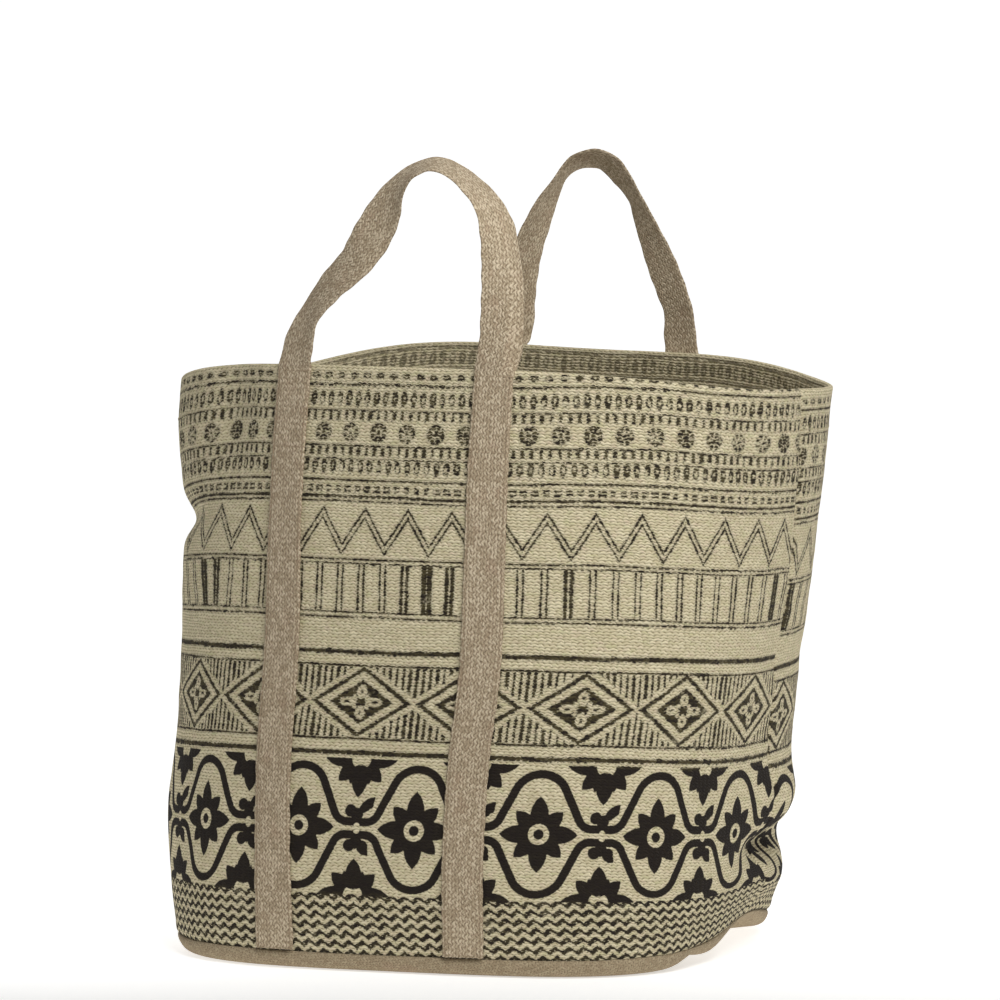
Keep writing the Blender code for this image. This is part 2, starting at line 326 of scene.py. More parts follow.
FRONT_ARCH = (
    Arch(-0.085, 0.020, 46), Arch(-0.077, 0.038, 60), Arch(-0.057, 0.062, 50),
    Arch(-0.034, 0.082, 36), Arch(-0.019, 0.101, 22), Arch(-0.008, 0.118, 34),
    Arch(0.004, 0.137, 62), Arch(0.019, 0.150, 75), Arch(0.037, 0.155, 72),
    Arch(0.056, 0.150, 68), Arch(0.071, 0.140, 61), Arch(0.085, 0.126, 52),
    Arch(0.095, 0.102, 28), Arch(0.098, 0.075, 6), Arch(0.097, 0.043, -10),
    Arch(0.095, 0.020, -16),
)
BACK_ARCH = (
    Arch(-0.075, 0.020, -5), Arch(-0.073, 0.040, -15), Arch(-0.069, 0.060, -28),
    Arch(-0.062, 0.081, -42), Arch(-0.053, 0.101, -50), Arch(-0.043, 0.121, -62),
    Arch(-0.030, 0.139, -76), Arch(-0.013, 0.150, -64), Arch(0.002, 0.152, -60),
    Arch(0.016, 0.147, -58), Arch(0.028, 0.136, -66), Arch(0.037, 0.123, -72),
    Arch(0.044, 0.108, -64), Arch(0.053, 0.089, -54), Arch(0.062, 0.070, -45),
    Arch(0.071, 0.050, -44), Arch(0.078, 0.031, -46), Arch(0.079, 0.016, -40),
)


def smooth_through(stations: np.ndarray, values: np.ndarray, at: np.ndarray) -> np.ndarray:
    """Read a table along a smooth curve.

    Args:
        stations: where the table's rows stand, rising.
        values: one row of numbers, or block of points, for each station.
        at: where to read it.

    Returns:
        The values there, one for each place.
    """
    slopes = np.gradient(values, stations, axis=0)
    low = np.clip(np.searchsorted(stations, at) - 1, 0, len(stations) - 2)
    span = stations[low + 1] - stations[low]
    t = (at - stations[low]) / span
    shape = (-1,) + (1,) * (values.ndim - 1)
    t, span = t.reshape(shape), span.reshape(shape)
    return ((2 * t**3 - 3 * t**2 + 1) * values[low] + (t**3 - 2 * t**2 + t) * span * slopes[low]
            + (3 * t**2 - 2 * t**3) * values[low + 1] + (t**3 - t**2) * span * slopes[low + 1])


def bell(distance: np.ndarray, reach: float) -> np.ndarray:
    """Bell curve of a distance, 1 at 0."""
    return np.exp(-((distance / reach) ** 2))


def wrapped(around: np.ndarray) -> np.ndarray:
    """The same distance round the bag, taken the shorter way."""
    return (around + GIRTH / 2) % GIRTH - GIRTH / 2


class Drape:
    """The standing bag's cloth as one surface."""

    LOOP_POINTS = 721
    HALF_DEPTHS = (0.05, 0.40)
    HALVINGS = 40
    DROP_POWER = 4

    def __init__(self) -> None:
        """Lay the sections out as a table."""
        names = list(Section.__dataclass_fields__)
        self.table = np.array([[getattr(row, name) for name in names] for row in SECTIONS])
        self.loops: dict[float, tuple] = {}

    def loop(self, half_width: float, half_depth: float, squareness: float) -> tuple:
        """One rounded-oblong loop.

        Args:
            half_width: half of its size along X.
            half_depth: half of its size along Y.
            squareness: the power of the superellipse, 2 for an oval.

        Returns:
            x, y and the distance run along it, for each of its points.
        """
        sweep = np.linspace(-math.pi / 2, 1.5 * math.pi, self.LOOP_POINTS)
        power = 2 / squareness
        x = half_width * np.sign(np.cos(sweep)) * np.abs(np.cos(sweep)) ** power
        y = half_depth * np.sign(np.sin(sweep)) * np.abs(np.sin(sweep)) ** power
        return x, y, np.concatenate(([0.0], np.cumsum(np.hypot(np.diff(x), np.diff(y)))))

    def loop_at(self, up: float) -> tuple:
        """Outline of the bag at one height, as deep as uses up the whole girth.

        Args:
            up: the distance up the cloth.

        Returns:
            The section there, its half depth and its loop.
        """
        key = round(up, 6)
        if key not in self.loops:
            row = Section(*smooth_through(self.table[:, 0], self.table, np.array([key]))[0])
            low, high = self.HALF_DEPTHS
            for _ in range(self.HALVINGS):
                middle = (low + high) / 2
                if self.loop(row.half_width, middle, row.squareness)[2][-1] < GIRTH:
                    low = middle
                else:
                    high = middle
            self.loops[key] = (row, low, self.loop(row.half_width, low, row.squareness))
        return self.loops[key]

    @staticmethod
    def moved(patches: tuple[Patch, ...], around: np.ndarray, up: float) -> np.ndarray:
        """Sum of what the patches move the cloth by.

        Args:
            patches: the patches.
            around: distances round the bag.
            up: distance up the cloth.

        Returns:
            The sum at each distance round the bag.
        """
        total = np.zeros_like(around)
        for patch in patches:
            sideways = wrapped(around - patch.around)
            total += (patch.amount * bell(sideways, patch.reach_around)
                      * bell(up - patch.up, patch.reach_up))
        return total

    def at(self, around: np.ndarray, up: float, out: "np.ndarray | float" = 0.0) -> Path:
        """Points of the cloth's outer face at one height.

        Args:
            around: distances round the bag.
            up: distance up the cloth.
            out: how far off the face the points lie.

        Returns:
            The points, and the outward direction at each.
        """
        around = np.atleast_1d(np.asarray(around, float))
        row, half_depth, (loop_x, loop_y, run) = self.loop_at(up)
        along = (around / GIRTH) % 1.0 * run[-1]
        x, y = np.interp(along, run, loop_x), np.interp(along, run, loop_y)
        steep = row.squareness - 1
        normal = np.stack([np.sign(x) * (np.abs(x) / row.half_width) ** steep / row.half_width,
                           np.sign(y) * (np.abs(y) / half_depth) ** steep / half_depth,
                           np.zeros_like(x)], axis=1)
        normal /= np.linalg.norm(normal, axis=1)[:, None]
        side = x / row.half_width
        drop = (row.right_drop * np.maximum(side, 0) ** self.DROP_POWER
                + row.left_drop * np.maximum(-side, 0) ** self.DROP_POWER)
        z = row.level - drop + self.moved(SLUMPS, around, up)
        shift = out + self.moved(FOLDS, around, up)
        point = np.stack([x, y, z], axis=1) + normal * np.reshape(shift, (-1, 1))
        turn = math.radians(row.turn)
        spin = np.array([[math.cos(turn), -math.sin(turn), 0.0],
                         [math.sin(turn), math.cos(turn), 0.0],
                         [0.0, 0.0, 1.0]])
        return point @ spin.T + (row.shift_x, row.shift_y, 0.0), normal @ spin.T


@dataclass(frozen=True)
class Unevenness:
    """Small swells and puckers of the cloth, in metres."""

    swell: float = 0.0011
    swell_length: float = 0.060
    rumple: float = 0.00045
    rumple_length: float = 0.017
    pucker: float = 0.0011
    pucker_length: float = 0.013
    pucker_reach: float = 0.014
    base_share: float = 0.8
    pucker_shift: tuple = (7.0, 0.0, 0.0)

    def at(self, around: np.ndarray, up: float) -> np.ndarray:
        """How far the cloth stands off its drape, the same again after one girth.

        Args:
            around: distances round the bag.
            up: distance up the cloth.

        Returns:
            The distance outward at each place.
        """
        radius = GIRTH / (2 * math.pi)
        angle = around / radius
        spots = np.stack([radius * np.cos(angle), radius * np.sin(angle), np.full_like(angle, up)],
                         axis=1)

        def noise_at(length: float, shift: tuple = (0.0, 0.0, 0.0)) -> np.ndarray:
            """Soft noise at the places, its lumps about one length apart."""
            return np.array([noise.noise(Vector(spot / length) + Vector(shift)) for spot in spots])

        seam = (around - SIDE_SEAM_SHIFT + GIRTH / 4) % (GIRTH / 2)
        seam = np.minimum(seam, GIRTH / 2 - seam)
        near = np.maximum(bell(seam, self.pucker_reach),
                          self.base_share * math.exp(-(up / self.pucker_reach) ** 2))
        return (noise_at(self.swell_length) * self.swell
                + noise_at(self.rumple_length) * self.rumple
                + noise_at(self.pucker_length, self.pucker_shift) * self.pucker * near)


DRAPE = Drape()
UNEVEN = Unevenness()


def cloth_at(around: np.ndarray, up: float, out: "np.ndarray | float" = 0.0) -> Path:
    """Points of the uneven cloth and the outward direction at each."""
    around = np.atleast_1d(np.asarray(around, float))
    return DRAPE.at(around, up, out + UNEVEN.at(around, up))


# =============================================================== meshes
def mesh_piece(name: str, points: np.ndarray, faces: list, material: bpy.types.Material,
               cloth: np.ndarray) -> bpy.types.Object:
    """Make a smooth object with its cloth coordinates.

    Args:
        name: the object's name.
        points: its points.
        faces: point numbers of each face.
        material: its finish.
        cloth: distance round, distance up and face number of each point.

    Returns:
        The object, linked to the scene.
    """
    mesh = bpy.data.meshes.new(name)
    mesh.from_pydata(points.tolist(), [], faces)
    mesh.materials.append(material)
    mesh.shade_smooth()
    mesh.attributes.new(CLOTH_ATTRIBUTE, "FLOAT_VECTOR", "POINT").data.foreach_set(
        "vector", cloth.astype(np.float32).ravel())
    made = bpy.data.objects.new(name, mesh)
    bpy.context.scene.collection.objects.link(made)
    return made


def strip_faces(rings: int, size: int) -> list:
    """Faces of a tube of equal rings, its two ends closed by strips.

    Args:
        rings: number of rings.
        size: points in a ring; the second half runs back beside the first.

    Returns:
        The faces.
    """
    faces = []
    for here in range(0, (rings - 1) * size, size):
        there = here + size
        faces += [(here + k, there + k, there + (k + 1) % size, here + (k + 1) % size)
                  for k in range(size)]
    last = (rings - 1) * size
    for k in range(size // 2 - 1):
        mate = size - 1 - k
        faces.append((k, k + 1, mate - 1, mate))
        faces.append((last + k, last + mate, last + mate - 1, last + k + 1))
    return faces


class Side(Enum):
    """Third cloth coordinate: which face of the cloth a point lies on."""

    PRINTED = 0.0
    REVERSE = 1.0


@dataclass
class ClothPanel:
    """One printed panel, from side seam to side seam, with its hem folded inside."""

    node: str
    start: float
    end: float
    print_drop: float
    print_slip: float
    step: float = 0.0034
    seam_steps: tuple = (0.0, 0.0008, 0.0017, 0.0028, 0.0042, 0.0062)
    seam_dip: float = 0.0017
    seam_reach: float = 0.0024
    hem_lip: float = 0.0012
    rim_points: int = 8

    def columns(self) -> np.ndarray:
        """Distances round the bag of the panel's columns, closer together at its seams.

        Returns:
            The distances, rising.
        """
        first, last = self.start + SEAM_GAP / 2, self.end - SEAM_GAP / 2
        edge = np.array(self.seam_steps)
        count = round((last - first - 2 * edge[-1]) / self.step)
        middle = np.linspace(first + edge[-1], last - edge[-1], count + 1)
        return np.concatenate((first + edge[:-1], middle, last - edge[-2::-1]))

    def rows(self) -> np.ndarray:
        """Distances up the cloth of the panel's rows, closer together at the base seam.

        Returns:
            The distances, rising.
        """
        edge = np.array(self.seam_steps)
        body = np.linspace(edge[-1], HEM_EDGE - self.hem_lip, round(HEM_EDGE / self.step) + 1)
        hem = np.linspace(HEM_EDGE, PANEL_HEIGHT, round(HEM_DEPTH / self.step) + 1)
        return np.concatenate((edge[:-1], body, hem))

    def build(self, material: bpy.types.Material) -> bpy.types.Object:
        """Make the panel as one closed thin mesh.

        Args:
            material: its finish.

        Returns:
            The panel.
        """
        columns, rows = self.columns(), self.rows()
        side_dip = (bell(columns - columns[0], self.seam_reach)
                    + bell(columns[-1] - columns, self.seam_reach)) * self.seam_dip
        layers, cloth = [], []

        def lay(up: float, inset: float, rise: float, print_up: float, side: Side) -> None:
            """Add one row of points round the panel.

            Args:
                up: distance up the drape.
                inset: how far inside its outer face the row lies.
                rise: how far above it.
                print_up: distance up the cloth, which runs on over the rim.
                side: the face of the cloth.
            """
            dip = side_dip + self.seam_dip * math.exp(-(up / self.seam_reach) ** 2)
            layers.append(cloth_at(columns, up, -inset - dip)[0] + (0.0, 0.0, rise))
            cloth.append(np.stack([columns + self.print_slip,
                                   np.full_like(columns, print_up + self.print_drop),
                                   np.full_like(columns, side.value)], axis=1))

        for up in rows:
            lay(up, 0.0, 0.0, up, Side.PRINTED)
        for turn in np.linspace(0, math.pi, self.rim_points + 2)[1:-1]:
            lay(PANEL_HEIGHT, CLOTH * (1 - math.cos(turn)), CLOTH * math.sin(turn),
                PANEL_HEIGHT + CLOTH * turn, Side.PRINTED)
        fold_run = CLOTH * math.pi
        for up in rows[::-1]:
            if up >= HEM_EDGE - ROUNDING:
                lay(up, 2 * CLOTH, 0.0, 2 * PANEL_HEIGHT - up + fold_run, Side.PRINTED)
            else:
                lay(up, CLOTH, 0.0, up, Side.REVERSE)
        rings = np.stack(layers, axis=1)
        return mesh_piece(self.node.replace("body", "printed"), rings.reshape(-1, 3),
                          strip_faces(len(columns), len(layers)), material,
                          np.stack(cloth, axis=1).reshape(-1, 3))

    def flat(self) -> tuple[float, float]:
        """Cut size of the panel, its hem unfolded."""
        return (self.end - self.start, PANEL_HEIGHT + HEM_DEPTH)


@dataclass(frozen=True)
class Tuck:
    """A place where the base's edge is drawn in and lifted below its seam."""

    around: float
    reach: float
    lift: float
    draw: float


@dataclass
class BasePanel:
    """The jute base, flat underneath, its edge turned up to the seam.

    `edge` lists how far in from the seam a point of the turned-up edge lies and its share of the
    seam's height. `pleats` lists each pleat's distance round the bag and its slant.
    """

    node: str = "base_panel"
    columns: int = 420
    edge: tuple = ((0.0, 1.0), (0.0008, 0.62), (0.0040, 0.24), (0.0100, 0.05), (0.0190, 0.0))
    edge_points: int = 14
    inner_shares: tuple = (0.86, 0.74, BASE_FLAT_SHARE, 0.40, 0.18)
    lip_dip: float = 0.0013
    lip_reach: float = 0.09
    pleats: tuple = ((-0.079, 0.25), (0.083, 0.45), (0.262, -0.30), (-0.300, 0.30), (0.640, 0.2))
    pleat_depth: float = 0.0013
    pleat_reach: float = 0.0013
    pleat_foot: float = 0.15
    tucks: tuple = (Tuck(-0.295, 0.050, 0.008, 0.011), Tuck(0.262, 0.020, 0.006, 0.003),
                    Tuck(0.385, 0.055, 0.006, 0.009))
    cut: tuple = (0.474, 0.444)
    seam_level: float = BASE_TURN_UP - SEAM_GAP

    @staticmethod
    def fade(share: float) -> float:
        """Share of the seam's lift that the base has at this share of its outline."""
        reach = max(share - BASE_FLAT_SHARE, 0.0) / (1 - BASE_FLAT_SHARE)
        return reach * reach * (3 - 2 * reach)

    def dips(self, around: np.ndarray, height: float) -> np.ndarray:
        """How far the sewn lip and the pleats draw the edge in.

        Args:
            around: distances round the bag.
            height: share of the edge's height.

        Returns:
            The distance inward at each place.
        """
        total = self.lip_dip * bell(np.full_like(around, 1 - height), self.lip_reach)
        depth = self.pleat_depth * math.sin(math.pi * min(height + self.pleat_foot, 1))
        for middle, slant in self.pleats:
            away = wrapped(around - middle - slant * (1 - height) * BASE_TURN_UP)
            total = total + depth * bell(away, self.pleat_reach)
        return total

    def tucked(self, around: np.ndarray, height: float) -> tuple[np.ndarray, np.ndarray]:
        """How far the tucks lift the edge and draw it in.

        Args:
            around: distances round the bag.
            height: share of the edge's height.

        Returns:
            The lift and the distance inward at each place.
        """
        lift, draw = np.zeros_like(around), np.zeros_like(around)
        for tuck in self.tucks:
            share = bell(wrapped(around - tuck.around), tuck.reach) * (1 - height)
            lift, draw = lift + tuck.lift * share, draw + tuck.draw * share
        return lift, draw

    def edge_layers(self, around: np.ndarray, lift: np.ndarray) -> tuple[list, list, list]:
        """Loops of points on both faces of the turned-up edge, from the seam to the ground.

        Args:
            around: distances round the bag.
            lift: how far the slump lifts the seam at each.

        Returns:
            The outer loops, the inner loops, and how far each lies from the seam along the cloth.
        """
        table = np.array(self.edge)
        steps = np.linspace(0, len(table) - 1, self.edge_points)
        edge = smooth_through(np.arange(len(table), dtype=float), table, steps)
        under, above, runs = [], [], []
        run = 0.0
        for k, (inset, height) in enumerate(edge):
            inset, height = max(inset, 0.0), min(max(height, 0.0), 1.0)
            if k:
                last_inset, last_height = edge[k - 1]
                run += math.hypot(inset - last_inset, (height - last_height) * self.seam_level)
            share = 1 - inset / self.edge[-1][0] * (1 - BASE_EDGE_SHARE)
            tuck_lift, tuck_draw = self.tucked(around, height)
            rise = lift * self.fade(share) + tuck_lift
            drawn = -inset - self.dips(around, height) - tuck_draw
            outer, _ = DRAPE.at(around, 0.0, drawn)
            inner, _ = DRAPE.at(around, 0.0, drawn - CLOTH * height)
            outer[:, 2] = self.seam_level * height + rise
            inner[:, 2] = self.seam_level * height + CLOTH * (1 - height) + rise
            under.append(outer)
            above.append(inner)
            runs.append(run)
        return under, above, runs

    def faces(self, size: int) -> list:
        """Faces between the columns, and one at the middle of each side.

        Args:
            size: points in a column, up one side of the cloth and back down the other.

        Returns:
            The faces.
        """
        faces = []
        for step in range(self.columns):
            here, there = step * size, (step + 1) % self.columns * size
            faces += [(here + k, here + (k + 1) % size, there + (k + 1) % size, there + k)
                      for k in range(size) if k != size // 2 - 1]
        inside = [step * size + size // 2 for step in range(self.columns)]
        return faces + [tuple(inside), tuple(spot - 1 for spot in reversed(inside))]

    def build(self, material: bpy.types.Material) -> bpy.types.Object:
        """Make the base as one closed thin mesh.

        Args:
            material: its finish.

        Returns:
            The base.
        """
        around = np.arange(self.columns) * GIRTH / self.columns
        middle = np.array([SECTIONS[0].shift_x, SECTIONS[0].shift_y])
        lift = DRAPE.at(around, 0.0)[0][:, 2] - BASE_TURN_UP
        under, above, runs = self.edge_layers(around, lift)
        foot = under[-1][:, :2]
        turned = foot - middle
        outward = turned / np.linalg.norm(turned, axis=1)[:, None]
        flat = [foot + outward * (runs[-1] - run) for run in runs]
        for share in self.inner_shares:
            spot = middle + turned * share
            rise = (lift + self.tucked(around, 0.0)[0]) * self.fade(share * BASE_EDGE_SHARE)
            under.append(np.column_stack((spot, rise)))
            above.append(np.column_stack((spot, rise + CLOTH)))
            flat.append(spot)
        rings = np.stack(under + above[::-1], axis=1)
        flat = np.stack(flat + flat[::-1], axis=1)
        cloth = np.concatenate((flat, np.zeros(flat.shape[:2] + (1,))), axis=2)
        return mesh_piece("jute_base", rings.reshape(-1, 3), self.faces(rings.shape[1]), material,
                          cloth.reshape(-1, 3))


@dataclass
class Webbing:
    """One handle: a webbing sewn up a panel, free over the arch and sewn down again.

    Places across it are shares of its half width, from -1 to 1. `length` is set by build.
    """

    node: str
    left: Leg
    right: Leg
    arch: tuple
    flip: int
    creases: tuple
    length: float = 0.0
    leg_step: float = 0.004
    arch_stations: int = 40
    leave_share: float = 0.55
    tangent_step: float = 0.001
    coarse_across: int = 13
    fine_across: int = 49
    fine_step: float = 0.003
    ends: int = 12
    rib: float = 0.00003
    selvedge: float = 0.00030
    selvedge_pitch: float = 0.0036
    selvedge_power: int = 24
    edge_rounding: float = 0.00075
    edge_power: int = 16
    stitch_inset: float = 0.0022
    stitch_dent: float = 0.00035
    stitch_reach: float = 0.0008
    stitch_start: float = 0.003
    leg_marks: int = 60
    cross_rows: tuple = (0.0025, 0.062)
    cross_reach: float = 0.00128
    cross_span: float = 0.88
    cross_marks: int = 9

    def leg_rows(self, leg: Leg, ups: np.ndarray, shares: np.ndarray) -> list[np.ndarray]:
        """Rows of points across the webbing's middle, up one leg.

        Args:
            leg: the leg.
            ups: the rows' distances up the cloth.
            shares: places across the webbing.

        Returns:
            The rows.
        """
        return [cloth_at(leg.at(up) + shares * WEBBING_WIDTH / 2, up, WEBBING_GAP + WEBBING / 2)[0]
                for up in ups]

    def arch_rows(self, shares: np.ndarray) -> list[np.ndarray]:
        """Rows of points across the webbing's middle, over the free arch.

        Args:
            shares: places across the webbing.

        Returns:
            The rows.
        """
        tops = [DRAPE.at(np.array([leg.rim]), PANEL_HEIGHT, WEBBING_GAP + WEBBING / 2)[0][0]
                for leg in (self.left, self.right)]
        middle = (tops[0] + tops[1]) / 2
        along = (tops[1] - tops[0]) * (1, 1, 0)
        along /= np.linalg.norm(along)
        facing = np.array([math.sin(FACING), -math.cos(FACING), 0.0])
        spots = [middle + along * row.along + (0, 0, row.rise) for row in self.arch]
        line = np.array([tops[0], *spots, tops[1]])
        rolls = [row.roll for row in self.arch]
        rolls = np.array([rolls[0], *rolls, rolls[-1]], float)
        steps = np.linalg.norm(np.diff(line, axis=0), axis=1)
        run = np.concatenate(([0.0], np.cumsum(steps)))
        at = np.linspace(run[1] * self.leave_share, run[-1] - steps[-1] * self.leave_share,
                         self.arch_stations)
        centres = smooth_through(run, line, at)
        ahead = (smooth_through(run, line, at + self.tangent_step)
                 - smooth_through(run, line, at - self.tangent_step))
        rows = []
        for centre, way, roll in zip(centres, ahead, np.radians(smooth_through(run, rolls, at))):
            way = way / np.linalg.norm(way)
            face = facing - way * (facing @ way)
            face /= np.linalg.norm(face)
            normal = self.flip * (face * math.cos(roll) + np.cross(face, way) * math.sin(roll))
            rows.append(centre + np.outer(shares, np.cross(way, normal)) * WEBBING_WIDTH / 2)
        return rows

    def middle_grid(self) -> tuple[np.ndarray, np.ndarray, float]:
        """Fine grid of the webbing's middle surface.

        Returns:
            The grid, each row's place along the webbing, and the length of a leg.
        """
        shares = np.linspace(-1, 1, self.coarse_across)
        ups = np.linspace(LEG_START, PANEL_HEIGHT, round(PANEL_HEIGHT / self.leg_step) + 1)
        grid = np.array(self.leg_rows(self.left, ups, shares) + self.arch_rows(shares)
                        + self.leg_rows(self.right, ups[::-1], -shares))
        steps = np.linalg.norm(np.diff(grid[:, self.coarse_across // 2], axis=0), axis=1)
        run = np.concatenate(([0.0], np.cumsum(steps)))
        fine = np.linspace(0, run[-1], round(run[-1] / self.fine_step) + 1)
        grid = smooth_through(run, grid, fine)
        fine_shares = np.linspace(-1, 1, self.fine_across)
        grid = smooth_through(shares, grid.transpose(1, 0, 2), fine_shares).transpose(1, 0, 2)
        return grid, fine, run[len(ups) - 1]

    @staticmethod
    def outward(grid: np.ndarray) -> np.ndarray:
        """Outward direction at each point of the middle grid."""
        normal = np.cross(np.gradient(grid, axis=1), np.gradient(grid, axis=0))
        return normal / np.linalg.norm(normal, axis=2)[:, :, None]

    def dents(self, run: np.ndarray, leg: float, shares: np.ndarray) -> np.ndarray:
        """How deep the stitching draws the webbing in.

        Args:
            run: each row's place along the webbing.
            leg: the length of a leg.
            shares: places across the webbing.

        Returns:
            The depth at each row and place across.
        """
        edge = np.abs(np.abs(shares) * WEBBING_WIDTH / 2 - (WEBBING_WIDTH / 2 - self.stitch_inset))
        sewn = (run < leg) | (run > run[-1] - leg)
        depth = np.outer(sewn, bell(edge, self.stitch_reach))
        inner = np.abs(shares) < self.cross_span
        for below in self.cross_rows:
            for at in (leg - below, run[-1] - leg + below):
                depth = np.maximum(depth, np.outer(bell(run - at, self.cross_reach), inner))
        return depth * self.stitch_dent

    def build(self, material: bpy.types.Material) -> bpy.types.Object:
        """Make the webbing as one closed ribbon with its ribs and selvedges.

        Args:
            material: its finish.

        Returns:
            The webbing.
        """
        grid, run, leg = self.middle_grid()
        shares = np.linspace(-1, 1, self.fine_across)
        for crease in self.creases:
            grid = grid + self.outward(grid) * crease.offset(run, shares)[:, :, None]
        normal = self.outward(grid)
        across = np.gradient(grid, axis=1)
        across /= np.linalg.norm(across, axis=2)[:, :, None]
        scallop = self.selvedge * np.outer(np.sin(run * 2 * math.pi / self.selvedge_pitch),
                                           np.sign(shares) * np.abs(shares) ** self.selvedge_power)
        grid = grid + across * scallop[:, :, None]
        ribs = self.rib * np.cos(2 * math.pi * self.ends * (shares + 1) / 2 + math.pi)
        half = WEBBING / 2 - self.edge_rounding * np.abs(shares) ** self.edge_power + ribs
        front = grid + normal * (half - self.dents(run, leg, shares))[:, :, None]
        back = grid - normal * half[None, :, None]
        rings = np.concatenate((back, front[:, ::-1]), axis=1)
        place = np.concatenate((shares, shares[::-1])) * WEBBING_WIDTH / 2
        reverse = np.repeat((1.0, 0.0), self.fine_across)
        cloth = np.stack([np.broadcast_to(layer, rings.shape[:2])
                          for layer in (place, run[:, None], reverse)], axis=2)
        self.length = float(run[-1])
        return mesh_piece(self.node.replace("handle", "webbing_handle"), rings.reshape(-1, 3),
                          strip_faces(*rings.shape[:2]), material, cloth.reshape(-1, 3))

    def seams(self) -> list[Path]:
        """Paths of the stitches that hold the webbing to its panel.

        Returns:
            The paths, with the outward direction at each point.
        """
        off = WEBBING_GAP + WEBBING - self.stitch_dent
        inset = WEBBING_WIDTH / 2 - self.stitch_inset
        paths = []
        for leg in (self.left, self.right):
            ups = np.linspace(self.stitch_start, PANEL_HEIGHT - self.cross_rows[0], self.leg_marks)
            for side in (-inset, inset):
                spots = [cloth_at(leg.at(up) + side, up, off) for up in ups]
                paths.append(tuple(np.concatenate(part) for part in zip(*spots)))
            for below in self.cross_rows:
                up = PANEL_HEIGHT - below
                across = leg.at(up) + np.linspace(-inset, inset, self.cross_marks)
                paths.append(cloth_at(across, up, off))
        return paths


@dataclass(frozen=True)
class Crease:
    """A lengthwise fold of a free webbing: past `share` its edge turns back by `angle` degrees."""

    start: float
    end: float
    share: float
    angle: float
    fade: float = 0.03
    roundness: float = 1.3

    def offset(self, run: np.ndarray, shares: np.ndarray) -> np.ndarray:
        """How far each point of the webbing moves along its outward direction.

        Args:
            run: each row's place along the webbing.
            shares: places across the webbing.

        Returns:
            The distance at each row and place across.
        """
        window = (np.clip((run - self.start) / self.fade, 0, 1)
                  * np.clip((self.end - run) / self.fade, 0, 1))
        window = window * window * (3 - 2 * window)
        past = (self.share - shares) if self.share < 0 else (shares - self.share)
        past = np.maximum(past, 0) ** self.roundness * WEBBING_WIDTH / 2
        return -np.outer(window, past) * math.tan(math.radians(self.angle))


# =============================================================== sewing
class NodeTool:
    """A geometry node tree with named inputs, run on one object and turned into a plain mesh."""

    def __init__(self, name: str, inputs: dict[str, tuple[str, object]]) -> None:
        """Open the tree and its inputs.

        Args:
            name: the tree's name.
            inputs: each input's name, with its socket type and value.
        """
        self.tree = bpy.data.node_groups.new(name, "GeometryNodeTree")
        self.graph = Graph(self.tree)
        for way in ("INPUT", "OUTPUT"):
            self.tree.interface.new_socket("Geometry", in_out=way,
                                           socket_type="NodeSocketGeometry")
        self.settings = {}
        for label, (kind, value) in inputs.items():
            made = self.tree.interface.new_socket(label, in_out="INPUT", socket_type=kind)
            self.settings[made.identifier] = value
        self.given = self.graph.node("NodeGroupInput")

    def finish(self, geometry: bpy.types.NodeSocket) -> None:
        """End the tree: real meshes, smooth, in the given material.

        Args:
            geometry: the instances.
        """
        graph = self.graph
        real = graph.node("GeometryNodeRealizeInstances", None, {"Geometry": geometry})
        smooth = graph.node("GeometryNodeSetShadeSmooth", None, {"Geometry": real.outputs[0]})
        dressed = graph.node("GeometryNodeSetMaterial", None,
                             {"Geometry": smooth.outputs[0],
                              "Material": self.given.outputs["Material"]})
        graph.node("NodeGroupOutput", None, {0: dressed.outputs[0]})

    def run(self, host: bpy.types.Object) -> bpy.types.Object:
        """Run the tree on an object and keep the result as its mesh.

        Args:
            host: the object that holds the paths or the surface.

        Returns:
            The same object with the finished mesh and no modifier.
        """
        modifier = host.modifiers.new(self.tree.name, "NODES")
        modifier.node_group = self.tree
        for identifier, value in self.settings.items():
            modifier[identifier] = value
        depsgraph = bpy.context.evaluated_depsgraph_get()
        mesh = bpy.data.meshes.new_from_object(host.evaluated_get(depsgraph))
        host.modifiers.clear()
        host.data = mesh
        return host


